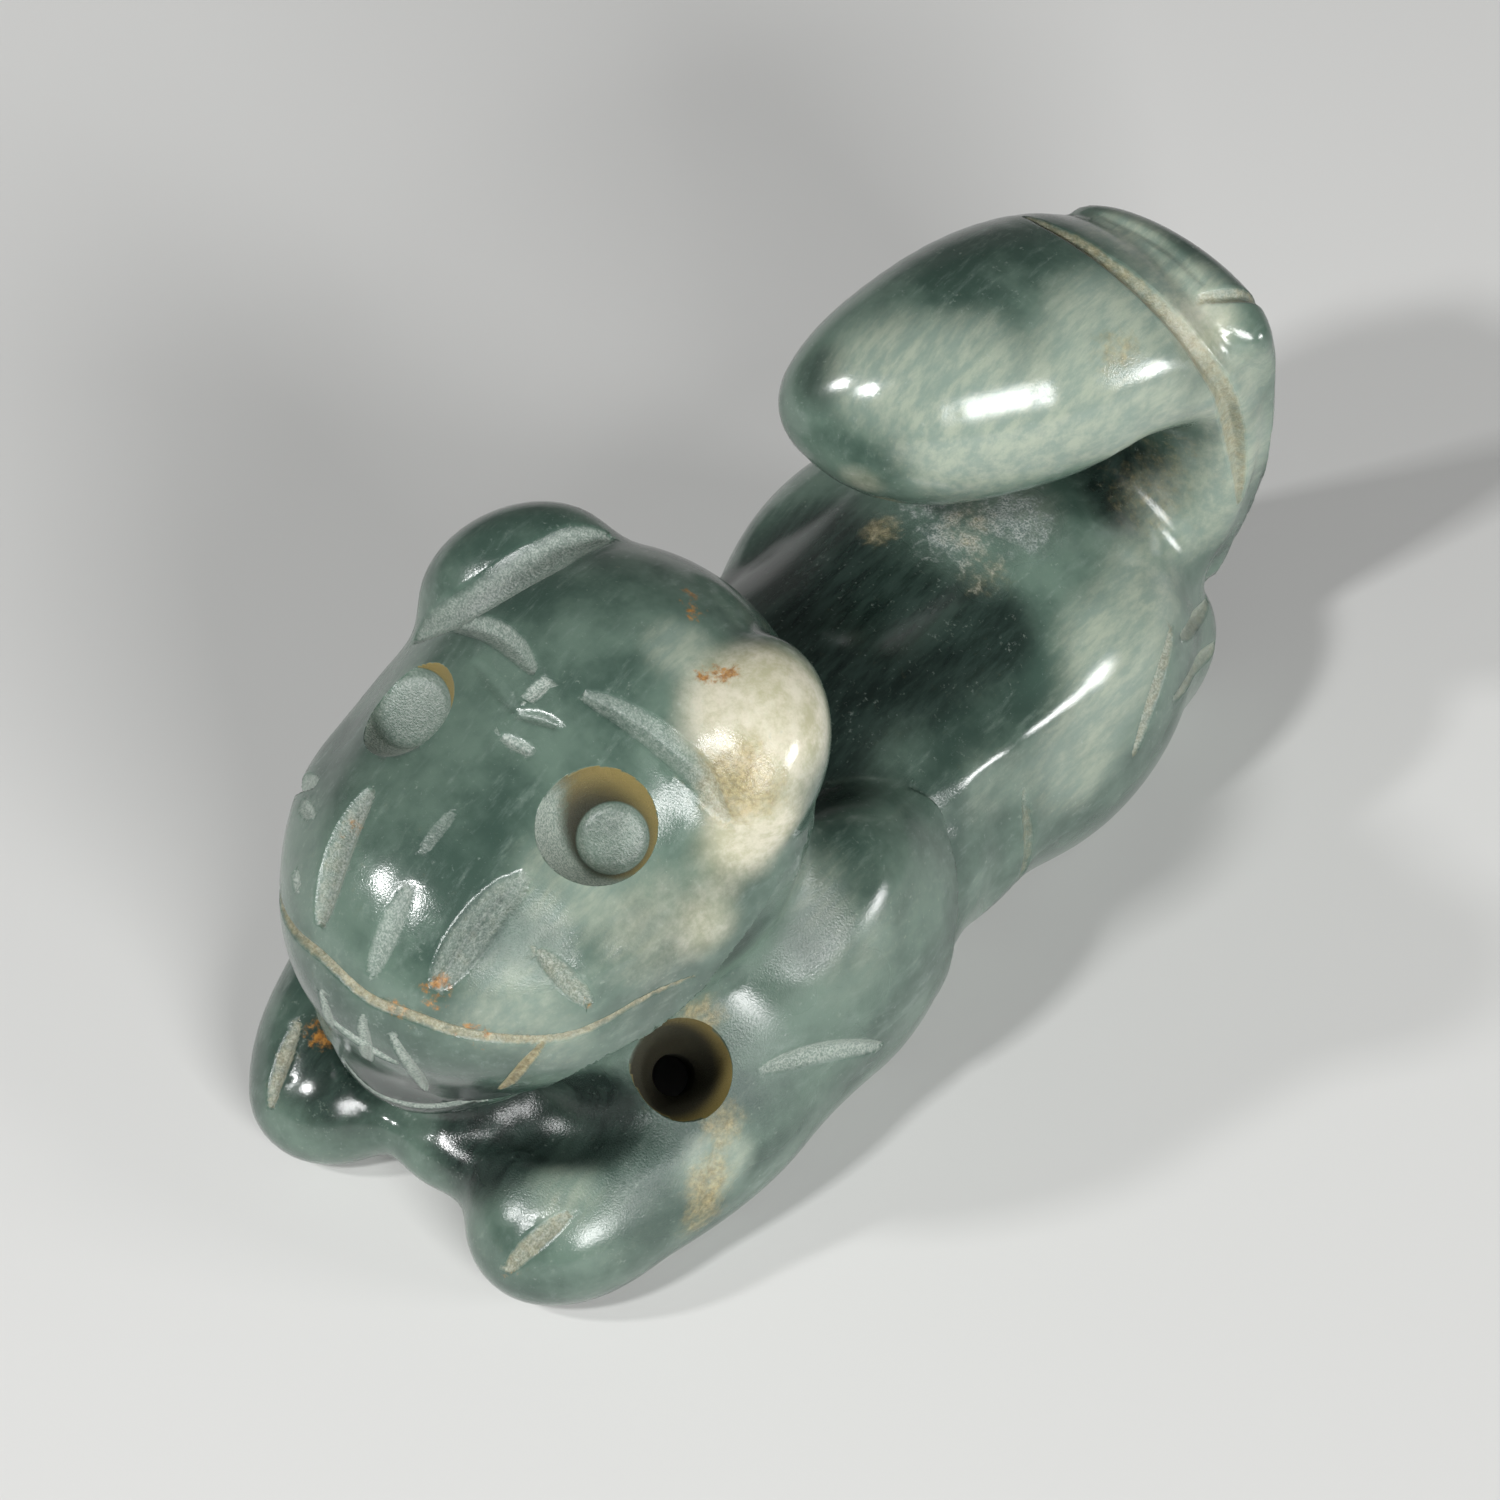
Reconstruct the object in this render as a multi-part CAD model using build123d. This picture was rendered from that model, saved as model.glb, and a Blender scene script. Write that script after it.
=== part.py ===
from build123d import *

import os
from collections import namedtuple

import numpy as np

os.makedirs("parts", exist_ok=True)

# Whole sizes of the carving in millimetres. The cat lies on its belly on Z = 0, nose toward -Y,
# its own left toward +X. All tables below hold shares of these three sizes.
WIDTH = 29.5
LENGTH = 62.7
HEIGHT = 33.0
SIZES = np.array([WIDTH, LENGTH, HEIGHT])

# How far two rounded masses flow into each other where they meet.
WIDE = 4.0
SOFT = 3.0
FIRM = 2.0
CRISP = 1.2
TAIL_ROOT_FLOW = 2.0
HEAD_FLOW = 1.6
PLATE_FLOW = 0.4

# Rounded masses the figure is cut to: middle, half sizes, forward tip and sideways turn in degrees.
Mass = namedtuple("Mass", "name side along up half_side half_along half_up tip turn flow")
BODY = (
    Mass("chest", 0.020, -0.104, 0.258, 0.366, 0.199, 0.297, 0, 0, SOFT),
    Mass("waist", 0.071, 0.140, 0.236, 0.383, 0.207, 0.303, 0, 0, SOFT),
    Mass("rump", 0.061, 0.311, 0.239, 0.373, 0.191, 0.309, 0, 0, SOFT),
    Mass("left haunch", 0.302, 0.295, 0.209, 0.166, 0.144, 0.252, 0, 0, FIRM),
    Mass("right haunch", -0.234, 0.295, 0.191, 0.159, 0.137, 0.239, 0, 0, FIRM),
    Mass("left hind foot", 0.271, 0.429, 0.118, 0.115, 0.073, 0.148, 0, 0, FIRM),
    Mass("right hind foot", -0.183, 0.424, 0.118, 0.115, 0.070, 0.142, 0, 0, FIRM),
    Mass("neck", 0.010, -0.191, 0.288, 0.312, 0.120, 0.258, 0, 0, SOFT),
    Mass("left shoulder", 0.325, -0.037, 0.252, 0.190, 0.137, 0.288, 0, 0, FIRM),
    Mass("right shoulder", -0.292, -0.040, 0.252, 0.183, 0.134, 0.288, 0, 0, FIRM),
    Mass("breast", 0.010, -0.239, 0.109, 0.237, 0.140, 0.133, 0, 0, FIRM),
    Mass("left upper arm", 0.305, -0.169, 0.164, 0.193, 0.140, 0.206, 0, 0, FIRM),
    Mass("left forearm", 0.305, -0.231, 0.118, 0.149, 0.144, 0.152, 0, 6, FIRM),
    Mass("left paw", 0.251, -0.335, 0.100, 0.153, 0.080, 0.127, 0, 10, FIRM),
    Mass("right upper arm", -0.281, -0.169, 0.164, 0.203, 0.140, 0.206, 0, 0, FIRM),
    Mass("right forearm", -0.288, -0.231, 0.118, 0.159, 0.144, 0.152, 0, -6, FIRM),
    Mass("right paw", -0.231, -0.344, 0.088, 0.149, 0.080, 0.121, 0, -10, FIRM),
)
HEAD = (
    Mass("skull", 0.000, -0.147, 0.630, 0.390, 0.150, 0.321, 0, 0, FIRM),
    Mass("crown", 0.000, -0.110, 0.739, 0.319, 0.136, 0.248, 0, 0, WIDE),
    Mass("face", -0.010, -0.255, 0.615, 0.354, 0.153, 0.300, 0, 0, SOFT),
    Mass("jaw", -0.044, -0.282, 0.391, 0.228, 0.124, 0.215, 0, 0, SOFT),
    Mass("muzzle", 0.000, -0.332, 0.636, 0.264, 0.108, 0.212, 0, 0, SOFT),
    Mass("left ear", 0.264, -0.093, 0.845, 0.129, 0.085, 0.130, 18, 33, CRISP),
    Mass("right ear", -0.254, -0.091, 0.842, 0.127, 0.085, 0.130, 18, -33, CRISP),
)

# Stations up the tail from its root in the rump, over the curl, to the blunt tip above the back.
Station = namedtuple("Station", "side along up half_wide half_thick")
TAIL = (
    Station(0.054, 0.375, 0.212, 0.203, 0.152),
    Station(0.108, 0.472, 0.318, 0.220, 0.121),
    Station(0.139, 0.501, 0.485, 0.224, 0.094),
    Station(0.132, 0.497, 0.670, 0.231, 0.112),
    Station(0.081, 0.440, 0.770, 0.244, 0.158),
    Station(0.020, 0.370, 0.785, 0.247, 0.191),
    Station(-0.058, 0.297, 0.773, 0.203, 0.176),
    Station(-0.125, 0.247, 0.785, 0.122, 0.109),
    Station(-0.153, 0.226, 0.794, 0.061, 0.061),
)
TAIL_STEPS = 5

# A slightly raised plate lies on the outside of the tail, from the rump to the top of the curl.
PLATE_STATIONS = 4
PLATE_LAST_SHARE = 0.55
CURL_MIDDLE = (0.351, 0.515)
PLATE_OUT = 0.52
PLATE_THICK = 0.62
PLATE_END_LIFT = (0.041, 0.018, 0.036)
PLATE_END_WIDE = 0.92
PLATE_END_THICK = 0.85

# Incised lines: width and depth as shares of the whole width, then the points they pass through.
Groove = namedtuple("Groove", "name wide deep path")
GROOVES = (
    Groove("right muzzle", 0.047, 0.027, (
        (-0.141, -0.320, 0.865), (-0.100, -0.373, 0.834), (-0.079, -0.405, 0.790),
        (-0.084, -0.421, 0.744))),
    Groove("left muzzle", 0.051, 0.027, (
        (0.169, -0.311, 0.852), (0.172, -0.356, 0.816), (0.164, -0.386, 0.781), (0.147, -0.408, 0.741))),
    Groove("nose", 0.037, 0.017, (
        (0.009, -0.386, 0.833), (0.031, -0.410, 0.788), (0.036, -0.429, 0.734))),
    Groove("left whisker", 0.037, 0.017, (
        (0.241, -0.333, 0.781), (0.279, -0.328, 0.733), (0.311, -0.317, 0.663))),
    Groove("right whisker", 0.037, 0.017, (
        (-0.241, -0.333, 0.781), (-0.279, -0.328, 0.733), (-0.311, -0.317, 0.663))),
    Groove("right ear", 0.064, 0.027, (
        (-0.169, -0.049, 0.945), (-0.189, -0.100, 0.963), (-0.237, -0.135, 0.944),
        (-0.287, -0.157, 0.907), (-0.329, -0.173, 0.832))),
    Groove("left ear", 0.054, 0.024, (
        (0.124, -0.085, 0.977), (0.164, -0.112, 0.970), (0.230, -0.133, 0.934),
        (0.321, -0.134, 0.906), (0.403, -0.108, 0.865))),
    Groove("right brow", 0.041, 0.017, (
        (-0.250, -0.179, 0.900), (-0.145, -0.184, 0.953), (-0.029, -0.186, 0.975))),
    Groove("left brow", 0.041, 0.017, (
        (0.078, -0.185, 0.970), (0.163, -0.173, 0.954), (0.240, -0.162, 0.919), (0.318, -0.163, 0.883))),
    Groove("frown", 0.031, 0.012, (
        (-0.066, -0.215, 0.948), (0.000, -0.220, 0.948), (0.008, -0.195, 0.969))),
    Groove("tick", 0.031, 0.012, (
        (-0.015, -0.245, 0.931), (0.024, -0.242, 0.932), (0.062, -0.240, 0.929))),
    Groove("mouth", 0.030, 0.017, (
        (-0.330, -0.262, 0.560), (-0.300, -0.330, 0.590), (-0.225, -0.395, 0.640),
        (-0.134, -0.424, 0.690), (-0.044, -0.431, 0.721), (0.043, -0.430, 0.725),
        (0.115, -0.422, 0.720), (0.200, -0.404, 0.684), (0.262, -0.374, 0.636), (0.284, -0.356, 0.629),
        (0.319, -0.310, 0.615), (0.340, -0.262, 0.590))),
    Groove("left toe", 0.034, 0.020, (
        (0.328, -0.367, 0.210), (0.311, -0.398, 0.173), (0.292, -0.413, 0.121))),
    Groove("left forearm", 0.031, 0.017, (
        (0.445, -0.241, 0.274), (0.468, -0.259, 0.211), (0.478, -0.276, 0.142))),
    Groove("left elbow", 0.051, 0.017, (
        (0.442, -0.169, 0.323), (0.483, -0.125, 0.292), (0.508, -0.071, 0.211))),
    Groove("left haunch", 0.047, 0.017, (
        (0.427, 0.186, 0.344), (0.447, 0.162, 0.301), (0.450, 0.162, 0.225))),
    Groove("left rump", 0.047, 0.017, (
        (0.384, 0.383, 0.386), (0.428, 0.319, 0.380), (0.450, 0.269, 0.330))),
    Groove("upper foot", 0.034, 0.017, (
        (0.330, 0.478, 0.203), (0.387, 0.415, 0.305), (0.425, 0.355, 0.358))),
    Groove("lower foot", 0.034, 0.017, (
        (0.377, 0.448, 0.174), (0.441, 0.369, 0.286), (0.457, 0.331, 0.296))),
)
GROOVE_STEP = 1.4
GROOVE_LIFT = 0.5
GROOVE_END = 0.28

# Drilled pits of the two eyes: point on the face, way the drill came out, share of the full depth.
Pit = namedtuple("Pit", "name point out deep")
PITS = (
    Pit("left eye", (0.217, -0.241, 0.870), (0.20, -0.43, 0.88), 1.0),
    Pit("right eye", (-0.219, -0.249, 0.872), (-0.05, -0.45, 0.89), 0.5),
)
PIT_RIM_R = 2.95
PIT_FLOOR_R = 1.85
PIT_DEPTH = 2.2
PIT_CUP_DEPTH = 0.7
PIT_CLEAR = 1.5

# Two suspension holes, each drilled from both ends so that a short straight land is left between
# two funnels. They run from the neck, under each cheek, down and back to the underside.
HOLE_MOUTH = (0.352, -0.2315, 0.345)
HOLE_OUT = (0.435, -0.358, 0.826)
HOLE_SIDES = (1, -1)
LAND_R = 1.05
LAND_LENGTH = 4.0
MOUTH_R = 2.65
MOUTH_FUNNEL = 4.6
EXIT_R = 2.3
HOLE_CLEAR = 2.0

# Facet spacing: close over the head and the tail, wider along the plain barrel of the body.
SIDE_STEP = 1.38
UP_STEP = 1.36
AlongStep = namedtuple("AlongStep", "end step")
ALONG_START = -0.46
ALONG_STEPS = (
    AlongStep(-0.02, 1.20),
    AlongStep(0.40, 1.85),
    AlongStep(0.60, 1.25),
)
SIDE_RANGE = (-0.56, 0.58)
UP_RANGE = (-0.12, 1.06)
SETTLE_PASSES = 3
CELL_MARGIN = 0.1
FILL_DEPTH = 0.05
PROBE = 0.001
QUARTER = 0.25


def turning(tip, turn):
    """Rotation that tips a mass forward about X and then turns it about Z."""
    a, b = np.radians(tip), np.radians(turn)
    about_x = np.array([[1, 0, 0], [0, np.cos(a), -np.sin(a)], [0, np.sin(a), np.cos(a)]])
    about_z = np.array([[np.cos(b), -np.sin(b), 0], [np.sin(b), np.cos(b), 0], [0, 0, 1]])
    return about_z @ about_x


def egg_distance(local, half):
    """Distance outside an egg of the given half sizes, from points in its own axes."""
    near = np.linalg.norm(local / half, axis=-1)
    slope = np.linalg.norm(local / half**2, axis=-1)
    return near * (near - 1) / np.maximum(slope, PROBE)


def joined(a, b, flow):
    """The nearer of two distances, with the meeting line filled over the flow length."""
    overlap = np.maximum(flow - np.abs(a - b), 0) / flow
    return np.minimum(a, b) - overlap**2 * flow * QUARTER


def mass_distance(points, mass):
    middle = np.array([mass.side, mass.along, mass.up]) * SIZES
    half = np.array([mass.half_side, mass.half_along, mass.half_up]) * SIZES
    return egg_distance((points - middle) @ turning(mass.tip, mass.turn), half)


def group_distance(points, masses):
    total = mass_distance(points, masses[0])
    for mass in masses[1:]:
        total = joined(total, mass_distance(points, mass), mass.flow)
    return total


def smooth_rows(rows, steps):
    """Rows of values joined by a curve that passes through each of them."""
    rows = np.array(rows, float)
    rows = np.vstack([2 * rows[0] - rows[1], rows, 2 * rows[-1] - rows[-2]])
    out = []
    for i in range(1, len(rows) - 2):
        before, start, end, after = rows[i - 1:i + 3]
        for t in np.arange(steps) / steps:
            bend = (2 * before - 5 * start + 4 * end - after) * t**2
            twist = (3 * start - before - 3 * end + after) * t**3
            out.append((2 * start + (end - before) * t + bend + twist) / 2)
    out.append(rows[-2])
    return np.array(out)


def band_distance(points, rows, steps):
    """Distance outside a bent band with an oval section, wide across the body."""
    rows = smooth_rows(rows, steps)
    middle, wide, thick = rows[:, :3], rows[:, 3], rows[:, 4]
    ahead = np.gradient(middle, axis=0)
    ahead /= np.linalg.norm(ahead, axis=1)[:, None]
    across = np.array([1.0, 0, 0]) - ahead * ahead[:, :1]
    across /= np.linalg.norm(across, axis=1)[:, None]
    outward = np.cross(ahead, across)
    best = np.full(len(points), LENGTH)
    for i in range(len(middle) - 1):
        step = middle[i + 1] - middle[i]
        share = np.clip((points - middle[i]) @ step / (step @ step), 0, 1)
        local = points - middle[i] - share[:, None] * step
        local = np.stack([local @ across[i], local @ outward[i], local @ ahead[i]], axis=-1)
        half_w = wide[i] + share * (wide[i + 1] - wide[i])
        half_t = thick[i] + share * (thick[i + 1] - thick[i])
        half = np.stack([half_w, half_t, np.minimum(half_w, half_t)], axis=-1)
        best = np.minimum(best, egg_distance(local, half))
    return best


def tail_rows():
    return np.array(TAIL) * np.array([WIDTH, LENGTH, HEIGHT, WIDTH, HEIGHT])


def plate_rows():
    """The plate follows the tail's first stations, moved outward from the middle of the curl."""
    rows = tail_rows()[1:PLATE_STATIONS + 1]
    rows[-1] = (1 - PLATE_LAST_SHARE) * rows[-2] + PLATE_LAST_SHARE * rows[-1]
    curl = np.array(CURL_MIDDLE) * SIZES[1:]
    for row in rows:
        out = row[1:3] - curl
        row[1:3] += out / np.linalg.norm(out) * row[4] * PLATE_OUT
        row[4] *= PLATE_THICK
    rows[-1, :3] += np.array(PLATE_END_LIFT) * SIZES
    rows[-1, 3] *= PLATE_END_WIDE
    rows[-1, 4] *= PLATE_END_THICK
    return rows


TAIL_ROWS = tail_rows()
PLATE_ROWS = plate_rows()


def cat_distance(points):
    """Distance outside the whole uncut figure."""
    figure = joined(group_distance(points, BODY), group_distance(points, HEAD), HEAD_FLOW)
    figure = joined(figure, band_distance(points, TAIL_ROWS, TAIL_STEPS), TAIL_ROOT_FLOW)
    return joined(figure, band_distance(points, PLATE_ROWS, TAIL_STEPS), PLATE_FLOW)


def slope_at(points):
    """How fast the distance grows along each axis."""
    here = cat_distance(points)
    ahead = [cat_distance(points + PROBE * axis) for axis in np.eye(3)]
    return here, (np.stack(ahead, axis=1) - here[:, None]) / PROBE


def grid_lines():
    side = np.arange(SIDE_RANGE[0] * WIDTH, SIDE_RANGE[1] * WIDTH, SIDE_STEP)
    up = np.arange(UP_RANGE[0] * HEIGHT, UP_RANGE[1] * HEIGHT, UP_STEP)
    along = [ALONG_START * LENGTH]
    for row in ALONG_STEPS:
        while along[-1] < row.end * LENGTH:
            along.append(along[-1] + row.step)
    return side, np.array(along), up


CORNERS = [(i, j, k) for i in (0, 1) for j in (0, 1) for k in (0, 1)]


def in_one_piece(chosen):
    """Whether the chosen corners of a cell hang together along its edges."""
    chosen = set(chosen)
    if not chosen:
        return True
    reached = {chosen.pop()}
    grown = True
    while grown:
        near = {c for c in chosen if any(sum(abs(p - q) for p, q in zip(c, r)) == 1 for r in reached)}
        grown = bool(near)
        reached |= near
        chosen -= near
    return not chosen


def plain_patterns():
    """For each pattern of a cell's corners in stone, whether the surface crosses it as one sheet."""
    plain = []
    for pattern in range(2 ** len(CORNERS)):
        stone = [c for n, c in enumerate(CORNERS) if pattern >> n & 1]
        open_air = [c for c in CORNERS if c not in stone]
        plain.append(in_one_piece(stone) and in_one_piece(open_air))
    return np.array(plain)


def without_pinches(field):
    """Fills the grid corners in tight creases where two sheets of the surface would touch."""
    cells = [n - 1 for n in field.shape]
    plain = plain_patterns()
    places = [tuple(slice(c, c + n) for c, n in zip(corner, cells)) for corner in CORNERS]
    while True:
        pattern = sum((field[place] < 0).astype(int) << n for n, place in enumerate(places))
        pinched = np.argwhere(~plain[pattern])
        if not len(pinched):
            return field
        for cell in pinched:
            around = [tuple(cell + corner) for corner in np.array(CORNERS)]
            nearest = min((c for c in around if field[c] >= 0), key=lambda c: field[c], default=None)
            if nearest is not None:
                field[nearest] = -FILL_DEPTH


def skin():
    """Points and four-sided facets of the surface, one point in each grid cell that it crosses."""
    lines = grid_lines()
    nodes = np.stack(np.meshgrid(*lines, indexing="ij"), axis=-1)
    field = without_pinches(cat_distance(nodes.reshape(-1, 3)).reshape(nodes.shape[:3]))
    cells = [n - 1 for n in field.shape]
    total = np.zeros((*cells, 3))
    count = np.zeros(cells)

    def at(values, corner):
        return values[tuple(slice(c, c + n) for c, n in zip(corner, cells))]

    for a in CORNERS:
        for axis in range(3):
            if a[axis]:
                continue
            b = tuple(c + (i == axis) for i, c in enumerate(a))
            near, far = at(field, a), at(field, b)
            crossed = (near < 0) != (far < 0)
            share = np.where(crossed, near / np.where(crossed, near - far, 1), 0)[..., None]
            total += np.where(crossed[..., None], at(nodes, a) * (1 - share) + at(nodes, b) * share, 0)
            count += crossed
    used = count > 0
    number = np.full(cells, -1)
    number[used] = np.arange(used.sum())
    points = total[used] / count[used][:, None]
    low, high = at(nodes, CORNERS[0])[used], at(nodes, CORNERS[-1])[used]
    inside = field < 0
    quads = []
    for axis in range(3):
        u, v = (axis + 1) % 3, (axis + 2) % 3
        here = [slice(1, -1)] * 3
        after = [slice(1, -1)] * 3
        here[axis] = slice(0, -1)
        after[axis] = slice(1, None)
        first, second = inside[tuple(here)], inside[tuple(after)]
        for reverse, found in ((False, first & ~second), (True, ~first & second)):
            start = np.argwhere(found)
            start[:, u] += 1
            start[:, v] += 1
            ring = []
            for du, dv in ((0, 0), (1, 0), (1, 1), (0, 1)):
                cell = start.copy()
                cell[:, u] -= du
                cell[:, v] -= dv
                ring.append(number[tuple(cell.T)])
            ring = np.stack(ring, axis=1)
            quads.append(ring[:, ::-1] if reverse else ring)
    margin = (high - low) * CELL_MARGIN
    for _ in range(SETTLE_PASSES):
        here, slope = slope_at(points)
        move = here / np.maximum((slope**2).sum(axis=1), QUARTER)
        points = np.clip(points - move[:, None] * slope, low + margin, high - margin)
    return points, np.vstack(quads)


def flat_face(ring):
    return Face(Wire.make_polygon([tuple(p) for p in ring], close=True))


def faceted(points, triangles):
    """Solid closed by the given triangles."""
    return Solid(Shell([flat_face(points[list(t)]) for t in triangles]))


def carved_blank():
    """The uncut figure, closed all round by small facets."""
    points, quads = skin()
    triangles = []
    for a, b, c, d in quads:
        short = np.linalg.norm(points[a] - points[c]) < np.linalg.norm(points[b] - points[d])
        triangles += [(a, b, c), (a, c, d)] if short else [(a, b, d), (b, c, d)]
    print("facets", len(triangles))
    return faceted(points, triangles), points


def on_surface(points):
    """Points brought to the figure's surface, and the way out of the stone there."""
    for _ in range(SETTLE_PASSES):
        here, slope = slope_at(points)
        points = points - here[:, None] * slope / (slope**2).sum(axis=1)[:, None]
    _, slope = slope_at(points)
    return points, slope / np.linalg.norm(slope, axis=1)[:, None]


def groove_cutter(groove):
    """A long wedge that follows the surface, deepest in its middle and running out at both ends."""
    path = np.array(groove.path) * SIZES
    length = np.linalg.norm(np.diff(path, axis=0), axis=1).sum()
    fine = smooth_rows(path, TAIL_STEPS)
    run = np.concatenate([[0], np.cumsum(np.linalg.norm(np.diff(fine, axis=0), axis=1))])
    count = max(3, round(length / GROOVE_STEP)) + 1
    stops = np.linspace(0, run[-1], count)
    middle, out = on_surface(np.stack([np.interp(stops, run, fine[:, i]) for i in range(3)], axis=1))
    ahead = np.gradient(middle, axis=0)
    ahead -= (ahead * out).sum(axis=1)[:, None] * out
    ahead /= np.linalg.norm(ahead, axis=1)[:, None]
    across = np.cross(out, ahead)
    share = np.minimum(1, np.minimum(stops, run[-1] - stops) / (GROOVE_END * run[-1])) ** 0.5
    half = groove.wide * WIDTH / 2 * share[:, None]
    deep = groove.deep * WIDTH * share[:, None]
    spread = half + GROOVE_LIFT * groove.wide / groove.deep / 2
    left = middle + out * GROOVE_LIFT - across * spread
    right = middle + out * GROOVE_LIFT + across * spread
    keel = middle - out * deep
    points = [middle[0] + out[0] * GROOVE_LIFT / 2 - ahead[0] * PROBE]
    for i in range(1, count - 1):
        points += [left[i], keel[i], right[i]]
    points.append(middle[-1] + out[-1] * GROOVE_LIFT / 2)
    points = np.array(points)
    last = len(points) - 1
    triangles = []
    for a, b in ((0, 1), (1, 2), (2, 0)):
        triangles.append((0, 1 + a, 1 + b))
        triangles.append((last, last - 3 + b, last - 3 + a))
        for i in range(count - 3):
            base, ahead_base = 1 + 3 * i, 4 + 3 * i
            triangles.append((base + a, ahead_base + a, ahead_base + b))
            triangles.append((base + a, ahead_base + b, base + b))
    return faceted(points, triangles)


def lap_cutter():
    """Block of waste below the flat that the belly and the paws are ground to."""
    deep = -2 * UP_RANGE[0] * HEIGHT
    return Pos(0, 0, -deep / 2) * Box(2 * WIDTH, 2 * LENGTH, deep)


def drill_plane(point, out):
    """Plane on the surface next to the given point, facing along the drill."""
    near, _ = on_surface(np.array([point]) * SIZES)
    return Plane(origin=tuple(near[0]), z_dir=tuple(out))


def pit_cutter(pit):
    """Tapered pit that ends in a shallow rounded cup."""
    deep = PIT_DEPTH * pit.deep
    spread = (PIT_RIM_R - PIT_FLOOR_R) / deep
    top_r = PIT_RIM_R + spread * PIT_CLEAR
    cup_r = (PIT_FLOOR_R**2 + PIT_CUP_DEPTH**2) / (2 * PIT_CUP_DEPTH)
    with BuildPart() as cutter:
        with BuildSketch(Plane.XZ):
            with BuildLine():
                Polyline((0, PIT_CLEAR), (top_r, PIT_CLEAR), (PIT_FLOOR_R, -deep))
                RadiusArc((PIT_FLOOR_R, -deep), (0, -deep - PIT_CUP_DEPTH), cup_r)
                Line((0, -deep - PIT_CUP_DEPTH), (0, PIT_CLEAR))
            make_face()
        revolve(axis=Axis.Z)
    return drill_plane(pit.point, pit.out).location * cutter.part


def hole_cutter(side):
    """Funnel, straight land and funnel, from the neck down through the underside."""
    out = np.array(HOLE_OUT) * np.array([side, 1, 1])
    out /= np.linalg.norm(out)
    mouth, _ = on_surface(np.array([HOLE_MOUTH]) * SIZES * np.array([side, 1, 1]))
    through = mouth[0, 2] / out[2]
    spread = (MOUTH_R - LAND_R) / MOUTH_FUNNEL
    top_r = MOUTH_R + spread * HOLE_CLEAR
    land_end = MOUTH_FUNNEL + LAND_LENGTH
    exit_spread = (EXIT_R - LAND_R) / (through - land_end)
    low_r = EXIT_R + exit_spread * HOLE_CLEAR
    with BuildPart() as cutter:
        with BuildSketch(Plane.XZ):
            with BuildLine():
                Polyline(
                    (0, HOLE_CLEAR),
                    (top_r, HOLE_CLEAR),
                    (LAND_R, -MOUTH_FUNNEL),
                    (LAND_R, -land_end),
                    (low_r, -through - HOLE_CLEAR),
                    (0, -through - HOLE_CLEAR),
                    close=True,
                )
            make_face()
        revolve(axis=Axis.Z)
    land_middle = mouth[0] - out * (MOUTH_FUNNEL + LAND_LENGTH / 2)
    return Plane(origin=tuple(mouth[0]), z_dir=tuple(out)).location * cutter.part, mouth[0], land_middle


blank, skin_points = carved_blank()
middle_shift = -(skin_points.min(axis=0) + skin_points.max(axis=0)) / 2 * np.array([1, 1, 0])
cutters = [lap_cutter()]
cutters += [groove_cutter(groove) for groove in GROOVES]
cutters += [pit_cutter(pit) for pit in PITS]
for side in HOLE_SIDES:
    cutter, mouth, land = hole_cutter(side)
    cutters.append(cutter)
    print("hole mouth", np.round(mouth + middle_shift, 2), "land middle", np.round(land + middle_shift, 2))

cat = blank - cutters
cat = Pos(*middle_shift) * cat
print("shift", np.round(middle_shift, 3), "size", cat.bounding_box().size)
export_step(cat, "parts/jade_cat.step")
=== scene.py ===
# %% [markdown]
# # A jade big cat pendant
# The real thing is one lump of jade, sawn, drilled and ground with grit to a crouching big cat, then
# polished until only the cut lines stay rough. The part from CAD has its size, holes and masses in
# flat facets. This lesson turns it back into worn stone: a smooth blank, the carver's cuts in their
# order, and one stone material that knows where it was cut.

from collections import namedtuple

import bpy
import numpy as np
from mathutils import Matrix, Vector


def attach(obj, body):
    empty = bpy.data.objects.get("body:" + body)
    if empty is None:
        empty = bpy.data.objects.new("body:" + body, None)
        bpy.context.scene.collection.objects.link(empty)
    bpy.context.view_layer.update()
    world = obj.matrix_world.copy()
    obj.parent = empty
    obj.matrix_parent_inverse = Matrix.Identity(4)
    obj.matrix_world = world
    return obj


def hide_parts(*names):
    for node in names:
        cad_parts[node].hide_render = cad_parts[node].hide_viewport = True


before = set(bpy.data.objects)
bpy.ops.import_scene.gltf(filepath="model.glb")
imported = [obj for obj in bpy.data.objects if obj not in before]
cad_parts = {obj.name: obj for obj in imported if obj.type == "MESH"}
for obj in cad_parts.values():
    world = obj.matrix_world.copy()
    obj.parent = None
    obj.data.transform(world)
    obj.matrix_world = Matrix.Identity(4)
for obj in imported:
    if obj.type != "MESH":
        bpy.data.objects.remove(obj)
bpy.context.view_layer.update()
MM = 0.001

# %% [markdown]
# ## Helpers for objects
# Operators work on whatever is selected, and the loaded part arrives selected, so every step first
# deselects all and picks its own object. A modifier could stay live, but a carved stone is finished
# step by step, so each one is applied at once.

# %% Picking, joining, applying a modifier, and moving points
def pick(obj):
    """Makes obj the only selected object, and the active one."""
    bpy.ops.object.select_all(action="DESELECT")
    obj.select_set(True)
    bpy.context.view_layer.objects.active = obj


def join(objects):
    """Joins the objects into the first one."""
    pick(objects[0])
    for obj in objects[1:]:
        obj.select_set(True)
    bpy.ops.object.join()


def work(obj, kind, **settings):
    """Adds one modifier to obj, sets it and applies it."""
    pick(obj)
    bpy.ops.object.modifier_add(type=kind)
    modifier = obj.modifiers[-1]
    for field, value in settings.items():
        setattr(modifier, field, value)
    bpy.ops.object.modifier_apply(modifier=modifier.name)


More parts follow.
